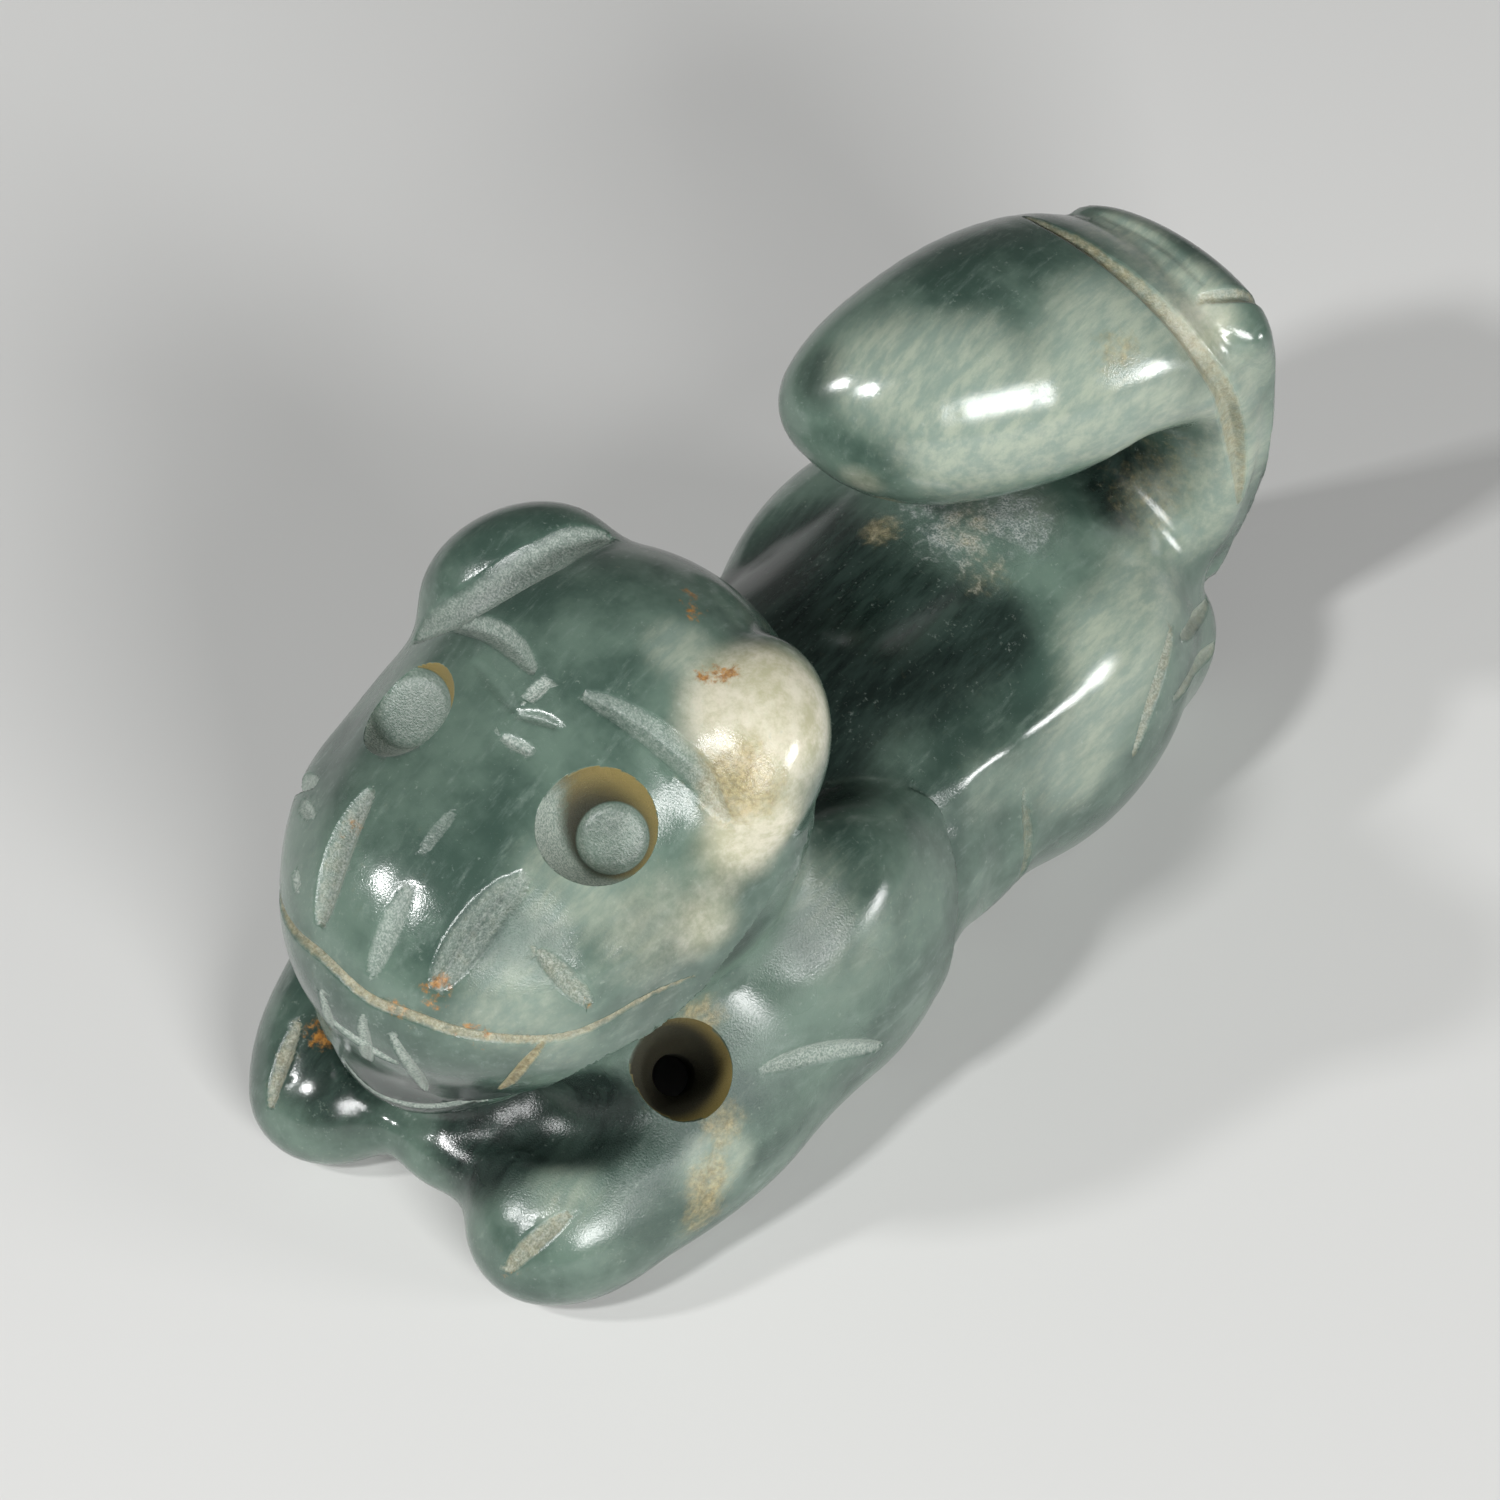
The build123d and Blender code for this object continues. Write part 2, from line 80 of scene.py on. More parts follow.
def points_of(mesh):
    """The mesh's points in millimetres, one row each."""
    co = np.empty(len(mesh.vertices) * 3, np.float32)
    mesh.vertices.foreach_get("co", co)
    return co.reshape(-1, 3).astype(float) / MM


def move_points(mesh, points):
    """Puts the mesh's points at these places, given in millimetres."""
    mesh.vertices.foreach_set("co", (points * MM).astype(np.float32).ravel())
    mesh.update()


print("points of the part", len(points_of(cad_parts["jade_cat"].data)))

# %% [markdown]
# ## Camera
# The photograph looks down on the cat from its front left, a little steeper than half a right angle. A
# camera close by would swell the head, so a long lens looks from a third of a metre away.

# %% Camera, its aim and distance in millimetres
CAMERA_AIM = (-0.413, -0.485, 11.8)
CAMERA_WAY = (0.3957, -0.4716, 0.7880)
CAMERA_FAR = 350
CAMERA_LENS, FILM_WIDE = 161.28, 36
NEAREST_SEEN = 0.01

aim = Vector(CAMERA_AIM) * MM
bpy.ops.object.camera_add(location=aim + Vector(CAMERA_WAY) * CAMERA_FAR * MM)
camera = bpy.context.object
camera.rotation_euler = (aim - camera.location).to_track_quat("-Z", "Y").to_euler()
camera.data.lens = CAMERA_LENS
camera.data.sensor_width = FILM_WIDE
camera.data.clip_start = NEAREST_SEEN
bpy.context.scene.camera = camera
print("camera at", np.round(np.array(camera.location) / MM).tolist())

# %% [markdown]
# ## Floor
# A small carving is photographed on card that curves up behind it. A flat plane would do for one view,
# but a low view would look over its edge. A round tray whose rim rises ring by ring ends in the same
# pale tone on every side.

# %% Floor tray: each row of the rim grows the last ring and lifts it, in metres
FLOOR_R = 1.2
FLOOR_RIM = ((1.06, 0.01), (1.05, 0.03), (1.03, 0.06), (1.01, 0.12), (1.0, 0.25))

bpy.ops.mesh.primitive_circle_add(vertices=128, radius=FLOOR_R, fill_type="NGON", location=(0, 0, 0))
floor = bpy.context.object
floor.name = "floor"
bpy.ops.object.mode_set(mode="EDIT")
bpy.ops.mesh.select_all(action="SELECT")
bpy.ops.mesh.region_to_loop()
for grow, rise in FLOOR_RIM:
    bpy.ops.mesh.extrude_edges_move(TRANSFORM_OT_translate={"value": (0, 0, rise)})
    bpy.ops.transform.resize(value=(grow, grow, 1), center_override=(0, 0, 0))
bpy.ops.object.mode_set(mode="OBJECT")
bpy.ops.object.shade_smooth()
print("tray points", len(floor.data.vertices))

# %% [markdown]
# ## Colours and nodes
# A material could be clicked together in the shader editor. Here two helpers keep it short: one turns
# a colour as picked on a screen to the linear one that nodes count with, and one adds any node.

# %% Helpers for colours and nodes
def linear(hex_colour):
    """An sRGB hex colour as the linear red, green, blue and alpha that nodes take."""
    parts = [int(hex_colour[i:i + 2], 16) / 255 for i in (1, 3, 5)]
    return (*[c / 12.92 if c <= 0.04045 else ((c + 0.055) / 1.055) ** 2.4 for c in parts], 1)


def add(tree, kind, inputs=None, **settings):
    """Adds one node, sets it, and fills or links its inputs."""
    node = tree.nodes.new(kind)
    for field, value in settings.items():
        setattr(node, field, value)
    for name, value in (inputs or {}).items():
        if isinstance(value, bpy.types.NodeSocket):
            tree.links.new(value, node.inputs[name])
        else:
            node.inputs[name].default_value = value
    return node


print("a middle grey in linear light", round(linear("#808080")[0], 3))

# %% [markdown]
# ## Floor card
# The tray is lined with matt card, pressed from paper pulp. Its loose fibres throw light back evenly,
# so the eye sees a soft pale tone and no gloss. Fibres could be drawn as well, but they would not show
# from here, so one plain shader is enough.

# %% Floor card
paper = bpy.data.materials.new("pale_paper_sweep")
paper.use_nodes = True
paper.node_tree.nodes.clear()
sheet = add(paper.node_tree, "ShaderNodeBsdfPrincipled", {
    "Base Color": linear("#D6D6D4"),
    "Roughness": 0.8,
})
add(paper.node_tree, "ShaderNodeOutputMaterial", {"Surface": sheet.outputs[0]})
floor.data.materials.append(paper)
print("floor card", paper.name)

# %% [markdown]
# ## Light
# Polished stone shows its form by the small bright shapes of the lamps in it. A picture of a studio
# could light it, but lamps can be moved until each spot falls where the photograph has it: two small
# ones high in front for muzzle and tail, a wide one for the left side, and a long low one a little
# behind it for the thin bright line along the waist.

# %% Soft boxes: turn from the nose to the cat's left, lift, size in metres, watts
SoftBox = namedtuple("SoftBox", "name turn lift wide tall power")
SOFT_BOXES = (
    SoftBox("front_box", -11, 47, 0.055, 0.055, 1.6),
    SoftBox("front_right_box", -38, 40, 0.045, 0.045, 1.1),
    SoftBox("side_box", 62, 28, 0.26, 0.20, 2.8),
    SoftBox("low_side_box", 112, 13, 0.18, 0.08, 1.2),
)
BOX_FAR = 0.60
for box in SOFT_BOXES:
    turn, lift = np.radians(box.turn), np.radians(box.lift)
    way = Vector((np.sin(turn) * np.cos(lift), -np.cos(turn) * np.cos(lift), np.sin(lift)))
    bpy.ops.object.light_add(type="AREA", location=aim + way * BOX_FAR)
    light = bpy.context.object
    light.name = box.name
    light.rotation_euler = (-way).to_track_quat("-Z", "Y").to_euler()
    light.data.shape = "RECTANGLE"
    light.data.size = box.wide
    light.data.size_y = box.tall
    light.data.energy = box.power
    light.visible_camera = False
print("soft boxes", len(SOFT_BOXES))

# %% [markdown]
# ## The form under the tool marks
# A carver first rounds the lump to a few swelling masses that flow into each other. Sculpting them by
# hand would drift from the part, so the blank is worked out from the part's own masses: eggs for body
# and head, and a bent band with an oval section for the tail. An egg has its middle, its half sizes,
# the length over which it flows into the rest, and its tip and turn in degrees.

# %% Masses of the body, in millimetres
Mass = namedtuple("Mass", "name middle half flow tip turn", defaults=(0, 0))
BODY = (
    Mass("chest", (0.2, -10.2, 8.5), (10.8, 12.5, 9.8), 3.0),
    Mass("waist", (1.7, 5.1, 7.8), (11.3, 13.0, 10.0), 3.0),
    Mass("rump", (1.4, 15.8, 7.9), (11.0, 12.0, 10.2), 3.0),
    Mass("left haunch", (8.5, 14.8, 6.9), (4.9, 9.0, 8.3), 2.0),
    Mass("right haunch", (-7.3, 14.8, 6.3), (4.7, 8.6, 7.9), 2.0),
    Mass("left hind foot", (7.6, 23.2, 3.9), (3.4, 4.6, 4.9), 2.0),
    Mass("right hind foot", (-5.8, 22.9, 3.9), (3.4, 4.4, 4.7), 2.0),
    Mass("neck", (-0.1, -15.7, 9.5), (9.2, 7.5, 8.5), 3.0),
    Mass("left shoulder", (9.2, -6.0, 8.3), (5.6, 8.6, 9.5), 2.0),
    Mass("right shoulder", (-9.0, -6.2, 8.3), (5.4, 8.4, 9.5), 2.0),
    Mass("breast", (-0.1, -18.7, 3.6), (7.0, 8.8, 4.4), 2.0),
    Mass("left upper arm", (8.6, -14.3, 5.4), (5.7, 8.8, 6.8), 2.0),
    Mass("left forearm", (8.6, -18.2, 3.9), (4.4, 9.0, 5.0), 2.0, 0, 6),
    Mass("left paw", (7.0, -24.7, 3.3), (4.5, 5.0, 4.2), 2.0, 0, 10),
    Mass("right upper arm", (-8.7, -14.3, 5.4), (6.0, 8.8, 6.8), 2.0),
    Mass("right forearm", (-8.9, -18.2, 3.9), (4.7, 9.0, 5.0), 2.0, 0, -6),
    Mass("right paw", (-7.2, -25.3, 2.9), (4.4, 5.0, 4.0), 2.0, 0, -10),
)
print("body masses", len(BODY))

# %% Masses of the head, in millimetres
HEAD = (
    Mass("skull", (-0.4, -12.9, 20.8), (11.5, 9.4, 10.6), 2.0),
    Mass("crown", (-0.4, -10.6, 24.4), (9.4, 8.5, 8.2), 4.0),
    Mass("face", (-0.7, -19.7, 20.3), (10.4, 9.6, 9.9), 3.0),
    Mass("jaw", (-1.7, -21.4, 12.9), (6.7, 7.8, 7.1), 3.0),
    Mass("muzzle", (-0.4, -24.5, 21.0), (7.8, 6.8, 7.0), 3.0),
    Mass("left ear", (7.4, -9.5, 27.9), (3.8, 5.3, 4.3), 1.2, 18, 33),
    Mass("right ear", (-7.9, -9.4, 27.8), (3.7, 5.3, 4.3), 1.2, 18, -33),
)
print("head masses", len(HEAD))

# %% The tail, and the raised plate on its outside, in millimetres
Station = namedtuple("Station", "middle half_wide half_thick")
TAIL = (
    Station((1.2, 19.8, 7.0), 6.0, 5.0),
    Station((2.8, 25.9, 10.5), 6.5, 4.0),
    Station((3.7, 27.7, 16.0), 6.6, 3.1),
    Station((3.5, 27.5, 22.1), 6.8, 3.7),
    Station((2.0, 23.9, 25.4), 7.2, 5.2),
    Station((0.2, 19.5, 25.9), 7.3, 6.3),
    Station((-2.1, 14.9, 25.5), 6.0, 5.8),
    Station((-4.1, 11.8, 25.9), 3.6, 3.6),
    Station((-4.9, 10.5, 26.2), 1.8, 2.0),
)
PLATE = (
    Station((2.8, 27.5, 9.1), 6.5, 2.5),
    Station((3.7, 29.3, 15.8), 6.6, 1.9),
    Station((3.5, 29.2, 23.0), 6.8, 2.3),
    Station((3.9, 28.3, 26.7), 6.5, 2.4),
)
print("tail stations", len(TAIL), "plate stations", len(PLATE))

# %% [markdown]
# ## How far a point lies from the smooth stone
# Blender could melt the masses together as metaballs, but their size is hard to keep. Here each mass
# is a short formula that gives a point's distance to it, less than zero inside, and the formulas are
# joined so that the valleys are filled as in worn stone.

# %% Distance to an egg, and the joining of two masses
def egg(local, half):
    """Distance to an egg with these half sizes, true close to its skin."""
    near = np.linalg.norm(local / half, axis=-1)
    slope = np.linalg.norm(local / half**2, axis=-1)
    return near * (near - 1) / np.maximum(slope, 1e-3)


def joined(a, b, flow):
    """The nearer of two distances, with the valley between them filled over the flow length."""
    overlap = np.maximum(flow - np.abs(a - b), 0) / flow
    return np.minimum(a, b) - overlap**2 * flow / 4


def masses(points, table):
    """Distance to all the eggs of a table, joined in its order."""
    total = None
    for mass in table:
        a, b = np.radians(mass.tip), np.radians(mass.turn)
        tip = np.array([[1, 0, 0], [0, np.cos(a), -np.sin(a)], [0, np.sin(a), np.cos(a)]])
        turn = np.array([[np.cos(b), -np.sin(b), 0], [np.sin(b), np.cos(b), 0], [0, 0, 1]])
        here = egg((points - np.array(mass.middle)) @ turn @ tip, np.array(mass.half))
        total = here if total is None else joined(total, here, mass.flow)
    return total


print("mm from the head, above it", masses(np.array([[0.0, -15, 63]]), HEAD).round())

# %% Distance to the bent tail
BAND_STEPS, BAND_FROM_Y = 5, 3.0
FAR_AWAY = 99.0


def smooth_rows(rows, steps):
    """Rows of values joined by a smooth curve through each of them."""
    rows = np.vstack([2 * rows[0] - rows[1], rows, 2 * rows[-1] - rows[-2]])
    out = []
    for before, start, end, after in zip(rows, rows[1:], rows[2:], rows[3:]):
        for t in np.arange(steps) / steps:
            bend = (2 * before - 5 * start + 4 * end - after) * t**2
            twist = (3 * start - before - 3 * end + after) * t**3
            out.append((2 * start + (end - before) * t + bend + twist) / 2)
    return np.array([*out, rows[-2]])


def unit(ways):
    """The same ways, each of length one."""
    return ways / np.maximum(np.linalg.norm(ways, axis=1), 1e-6)[:, None]


def band(points, stations):
    """Distance to a bent bar of oval section, whose frame turns evenly from one row to the next."""
    rows = smooth_rows(np.array([(*s.middle, s.half_wide, s.half_thick) for s in stations]), BAND_STEPS)
    middle, sizes = rows[:, :3], rows[:, 3:]
    ahead = unit(np.gradient(middle, axis=0))
    across = unit(np.array([1.0, 0, 0]) - ahead * ahead[:, :1])
    turns = np.stack([across, np.cross(ahead, across), ahead], axis=2)
    best = np.full(len(points), FAR_AWAY)
    near = np.flatnonzero(points[:, 1] > BAND_FROM_Y)
    points = points[near]
    for i, step in enumerate(np.diff(middle, axis=0)):
        share = np.clip((points - middle[i]) @ step / (step @ step), 0, 1)
        away = points - middle[i] - share[:, None] * step
        turn, next_turn = away @ turns[i], away @ turns[i + 1]
        local = turn + share[:, None] * (next_turn - turn)
        size = sizes[i] + share[:, None] * (sizes[i + 1] - sizes[i])
        half = np.concatenate([size, size.min(axis=1, keepdims=True)], axis=1)
        best[near] = np.minimum(best[near], egg(local, half))
    return best


print("mm outside, in the tail", band(np.array([[2.0, 23.0, 25.4]]), TAIL).round(1))

# %% The whole stone, and sliding points onto it
HEAD_FLOW, TAIL_FLOW, PLATE_FLOW, LAP_FLOW = 1.6, 2.0, 0.4, 0.5
LEAST_SLOPE = 0.25


def stone(points):
    """Distance outside the smooth figure, which is ground flat below."""
    figure = joined(masses(points, BODY), masses(points, HEAD), HEAD_FLOW)
    figure = joined(figure, band(points, TAIL), TAIL_FLOW)
    figure = joined(figure, band(points, PLATE), PLATE_FLOW)
    return -joined(-figure, points[:, 2], LAP_FLOW)


def stone_and_way(points, step=0.01):
    """The distance at each point, and the way out of the stone there, not yet of length one."""
    here = stone(points)
    ahead = [stone(points + step * axis) for axis in np.eye(3)]
    return here, (np.stack(ahead, axis=1) - here[:, None]) / step


def settled(points, passes):
    """The points slid onto the smooth stone, and the way out of it there."""
    for _ in range(passes):
        here, way = stone_and_way(points)
        points = points - (here / np.maximum((way**2).sum(axis=1), LEAST_SLOPE))[:, None] * way
    return points, unit(way)


print("mm outside, in the belly", stone(np.array([[0.0, 0.0, 9.0]])).round(1))

# %% [markdown]
# ## The blank
# A hole is drilled into finished stone, so the blank has none yet. A new lump could be modelled, but a
# copy of the part has the right size. Its facets are merged into one skin, and pegs close its holes.

# %% A copy of the part as one skin
SAME_POINT = 1e-6

cat = bpy.data.objects.new("jade_cat_carving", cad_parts["jade_cat"].data.copy())
bpy.context.scene.collection.objects.link(cat)
cat.data.materials.clear()
pick(cat)
bpy.ops.object.mode_set(mode="EDIT")
bpy.ops.mesh.select_all(action="SELECT")
bpy.ops.mesh.remove_doubles(threshold=SAME_POINT)
bpy.ops.object.mode_set(mode="OBJECT")
print("points of the skin", len(cat.data.vertices))

# %% Pegs in the cord holes, in millimetres
HOLE_WAY = (0.435, -0.358, 0.826)
HOLES = ((1, (10.03, -18.24, 11.46)), (-1, (-10.66, -18.10, 11.18)))
PEG_R, PEG_PROUD, PEG_CORNERS = 3.0, 0.5, 48

pegs = []
for side, mouth in HOLES:
    way = Vector(HOLE_WAY).normalized() * Vector((side, 1, 1))
    long = mouth[2] / way.z + 2 * PEG_PROUD
    bpy.ops.mesh.primitive_cylinder_add(vertices=PEG_CORNERS, radius=PEG_R * MM, depth=long * MM)
    peg = bpy.context.object
    peg.location = (Vector(mouth) - way * (long / 2 - PEG_PROUD)) * MM
    peg.rotation_euler = way.to_track_quat("Z", "Y").to_euler()
    pegs.append(peg)
join([cat, *pegs])
print("pegs", len(HOLES))

# %% [markdown]
# ## An even skin
# Rubbed stone has no facets. Subdividing would keep the old ones, so a voxel remesh wraps everything
# in one even skin, and each point is slid along the slope onto the smooth masses, first on a coarse
# and then on a fine skin.

# %% Remesh, even out and settle
VOXELS = (0.70, 0.54)
EVENING = 6


def settle(obj, passes):
    """Slides every point of obj onto the smooth stone."""
    points, _ = settled(points_of(obj.data), passes)
    move_points(obj.data, points)


for voxel in VOXELS:
    work(cat, "REMESH", mode="VOXEL", voxel_size=voxel * MM, use_smooth_shade=True)
    settle(cat, 1)
    work(cat, "SMOOTH", factor=0.5, iterations=EVENING)
    settle(cat, 2)
print("blank faces", len(cat.data.polygons))

# %% [markdown]
# ## The cut lines
# Grooves were ground with a hard edge and grit: deepest in the middle, pointed at both ends, and left
# rough. They could be drawn with a brush, but rows of numbers are easier to mend: width and depth, how
# frosted and how stained with tan from 0 to 1, and a few points on the way.

# %% Grooves of the face, in millimetres
Cut = namedtuple("Cut", "name wide deep frost tan path")
FACE_GROOVES = (
    Cut("right muzzle", 1.9, 0.80, 0.55, 0.3, (
        (-4.6, -24.1, 28.6), (-4.3, -26.3, 27.7), (-3.5, -28.7, 26.2), (-2.9, -30.0, 24.6))),
    Cut("left muzzle", 2.1, 0.95, 0.5, 0.15, (
        (4.6, -23.2, 28.3), (4.3, -25.2, 27.7), (4.1, -27.3, 26.5), (3.8, -29.2, 24.6))),
    Cut("nose", 1.4, 0.25, 0.55, 0.0, ((0.5, -27.1, 28.0), (0.7, -28.9, 26.5), (0.8, -30.5, 24.4))),
    Cut("nose faint", 0.9, 0.06, 0.4, 0.0, ((0.0, -23.1, 29.7), (0.0, -24.5, 29.3), (0.0, -25.8, 28.7))),
    Cut("whisker", 1.2, 0.55, 0.6, 0.35, ((6.6, -24.9, 25.9), (7.7, -24.5, 24.5), (8.8, -23.8, 22.3))),
    Cut("right whisker", 1.2, 0.55, 0.7, 0.0, (
        (-7.9, -23.9, 25.4), (-8.6, -23.4, 23.8), (-9.2, -22.8, 21.8))),
    Cut("side mark", 0.8, 0.20, 1.0, 0.0, ((-8.6, -24.9, 24.7), (-7.0, -26.0, 26.0))),
    Cut("low side mark", 0.8, 0.20, 1.0, 0.0, ((-6.4, -28.1, 24.5), (-5.3, -29.0, 24.5))),
    Cut("right ear", 2.6, 0.90, 0.6, 0.0, (
        (-4.8, -5.6, 31.0), (-5.5, -8.2, 31.8), (-5.8, -9.9, 31.9),
        (-6.8, -12.5, 31.2), (-8.1, -14.1, 29.8), (-10.2, -15.0, 27.0))),
    Cut("right brow", 1.5, 0.55, 0.6, 0.0, (
        (-7.9, -14.7, 29.7), (-5.3, -14.7, 31.4), (-3.1, -15.1, 32.0), (-1.3, -15.7, 32.0))),
    Cut("left brow", 1.7, 0.45, 0.45, 0.0, (
        (1.2, -15.3, 32.1), (3.5, -14.7, 31.8), (5.9, -14.2, 30.8),
        (7.9, -14.0, 29.6), (9.8, -14.2, 27.8))),
    Cut("frown stem", 0.9, 0.16, 0.1, 0.0, (
        (-4.7, -16.4, 31.0), (-2.4, -17.2, 31.3), (-0.7, -17.7, 31.3))),
    Cut("frown cup", 0.8, 0.22, 0.3, 0.0, ((-0.9, -17.8, 31.2), (0.4, -17.3, 31.4), (1.6, -17.0, 31.4))),
    Cut("frown mark", 0.9, 0.20, 1.0, 0.0, ((-0.8, -17.1, 31.5), (-0.5, -15.5, 32.1))),
    Cut("tick", 0.7, 0.22, 0.7, 0.0, ((-0.8, -19.0, 30.8), (0.3, -18.9, 30.8), (1.5, -18.7, 30.7))),
    Cut("mouth", 0.75, 0.38, 0.4, 0.6, (
        (-9.2, -21.5, 19.0), (-7.4, -27.0, 21.2), (-4.5, -30.1, 22.9), (-2.0, -30.7, 23.6),
        (1.0, -30.9, 23.2), (3.1, -30.3, 23.1), (5.1, -29.3, 22.5), (6.7, -27.9, 21.8),
        (8.0, -26.1, 21.0), (8.7, -24.4, 20.6), (9.6, -21.2, 20.6), (10.3, -17.8, 20.0))),
    Cut("jaw line", 0.8, 0.25, 0.3, 0.7, ((8.0, -26.1, 20.9), (7.2, -27.0, 19.0), (5.6, -27.0, 16.4))),
    Cut("beard right", 0.9, 0.25, 1.0, 0.0, (
        (-2.0, -31.2, 21.6), (-1.7, -31.3, 20.3), (-1.8, -31.1, 19.3), (-2.1, -30.7, 17.9))),
    Cut("beard middle", 0.9, 0.27, 1.0, 0.0, (
        (0.8, -31.2, 21.9), (0.8, -31.2, 19.9), (0.6, -31.0, 18.6), (-0.4, -30.0, 15.8))),
    Cut("beard left", 0.9, 0.27, 1.0, 0.0, (
        (2.4, -30.9, 21.6), (3.0, -30.4, 18.9), (2.8, -29.7, 16.9), (2.0, -28.5, 13.8))),
    Cut("beard bar", 1.2, 0.34, 1.0, 0.0, ((-2.2, -31.0, 19.5), (0.3, -31.1, 19.2), (2.4, -30.6, 18.7))),
    Cut("chin", 0.8, 0.16, 0.8, 0.0, (
        (-3.2, -29.0, 12.3), (-1.4, -28.9, 11.2), (0.3, -28.6, 11.2),
        (1.7, -27.9, 11.5), (3.4, -26.8, 12.3), (5.1, -25.6, 13.6))),
)
print("grooves of the face", len(FACE_GROOVES))

# %% Grooves of the limbs, for both sides, and of the tail's plate, in millimetres
LIMB_GROOVES = (
    Cut("toe", 1.1, 0.40, 0.5, 0.5, ((9.3, -26.0, 7.1), (8.6, -28.1, 6.1), (7.8, -29.5, 4.2))),
    Cut("forearm", 0.7, 0.14, 0.1, 0.3, ((12.6, -18.6, 9.0), (13.1, -19.7, 7.0), (13.3, -20.7, 4.6))),
    Cut("elbow", 1.4, 0.45, 0.7, 0.0, (
        (12.4, -15.0, 10.4), (13.6, -12.0, 9.6), (14.2, -10.0, 8.5), (14.6, -7.8, 6.7))),
    Cut("haunch front", 0.7, 0.25, 0.3, 0.3, (
        (12.0, 6.9, 11.8), (12.6, 6.5, 10.3), (12.9, 6.3, 7.1), (12.6, 6.4, 4.0))),
    Cut("rump", 1.1, 0.45, 0.6, 0.5, ((11.6, 20.0, 12.2), (13.0, 16.6, 10.6), (13.5, 14.4, 8.2))),
    Cut("upper lobe", 1.2, 0.45, 0.6, 0.4, ((9.3, 26.3, 6.6), (10.2, 24.4, 7.9), (11.8, 20.3, 11.1))),
    Cut("lower lobe", 1.2, 0.45, 0.6, 0.4, (
        (9.9, 26.4, 3.4), (10.7, 24.9, 4.7), (12.2, 21.2, 7.5), (13.1, 18.2, 8.8))),
)
PLATE_GROOVES = (
    Cut("plate line", 0.9, 0.18, 0.2, 0.0, (
        (-1.0, 28.1, 28.9), (1.0, 28.2, 29.2), (3.8, 28.3, 29.2), (6.6, 27.9, 28.6))),
    Cut("plate notch", 1.0, 0.40, 0.4, 0.4, (
        (8.8, 30.4, 25.8), (8.0, 29.2, 27.4), (7.3, 28.0, 28.3), (6.6, 26.8, 28.6))),
    Cut("plate edge", 1.5, 0.50, 0.35, 0.45, (
        (-3.0, 24.6, 30.2), (-0.9, 24.2, 31.1), (2.0, 24.2, 31.2),
        (5.0, 24.4, 30.3), (7.4, 24.7, 28.8), (9.3, 25.1, 26.4),
        (9.9, 26.3, 22.0), (10.2, 27.1, 17.0), (10.1, 27.3, 14.4))),
)
print("grooves of the limbs", len(LIMB_GROOVES), "of the plate", len(PLATE_GROOVES))

# %% [markdown]
# ## Folds and steps
# Wider forms were rubbed down with a blunter tool. They could be masses too, but a wave along a line
# is simpler. A fold is a soft hollow, or a ridge where its depth is below zero. A step drops over a
# narrow edge, runs out over its reach, and leaves a raised lip above.

# %% Folds and steps, for both sides, in millimetres
Fold = namedtuple("Fold", "name wide deep path")
FOLDS = (
    Fold("shoulder fold", 4.2, 0.32, (
        (10.7, -4.3, 17.3), (11.3, -6.2, 17.1), (11.8, -9.4, 15.9), (12.1, -11.5, 13.7))),
    Fold("flank ridge", 4.2, -0.48, (
        (8.2, -2.2, 16.2), (9.2, -0.4, 15.2), (10.0, 1.4, 14.4),
        (10.5, 4.4, 13.9), (10.6, 8.2, 13.7), (11.3, 13.2, 13.8))),
    Fold("cheek ridge", 6.5, -0.55, (
        (6.0, -26.8, 23.2), (8.0, -23.8, 23.2), (9.2, -20.6, 22.8),
        (10.0, -17.2, 23.0), (10.6, -14.4, 24.4))),
    Fold("under the chin", 6.0, 1.70, (
        (0.0, -26.8, 7.6), (3.5, -25.2, 8.4), (6.5, -23.4, 9.2),
        (9.6, -20.6, 9.8), (11.6, -18.4, 10.2))),
    Fold("before the haunch", 5.0, 0.50, (
        (9.5, 5.0, 14.4), (11.6, 4.8, 11.5), (12.6, 4.4, 8.0), (12.6, 4.0, 4.0))),
)
Step = namedtuple("Step", "name edge reach deep lip path")
STEPS = (
    Step("under the head", 0.30, 5.0, 0.9, 0.75, (
        (10.0, -8.0, 22.4), (11.1, -11.8, 22.9), (11.0, -14.1, 21.6),
        (10.7, -16.0, 20.1), (10.1, -17.6, 18.4), (9.4, -20.1, 17.3),
        (8.8, -23.0, 17.7), (6.9, -25.3, 16.0), (3.8, -26.4, 11.8))),
    Step("behind the shoulder", 0.30, 3.5, 0.6, 0.25, (
        (9.0, 0.7, 15.2), (10.7, 1.3, 13.9), (12.2, 0.6, 12.3),
        (13.3, -0.4, 10.4), (13.9, -1.5, 8.2), (14.0, -2.0, 5.0))),
)
print("folds", len(FOLDS), "steps", len(STEPS))
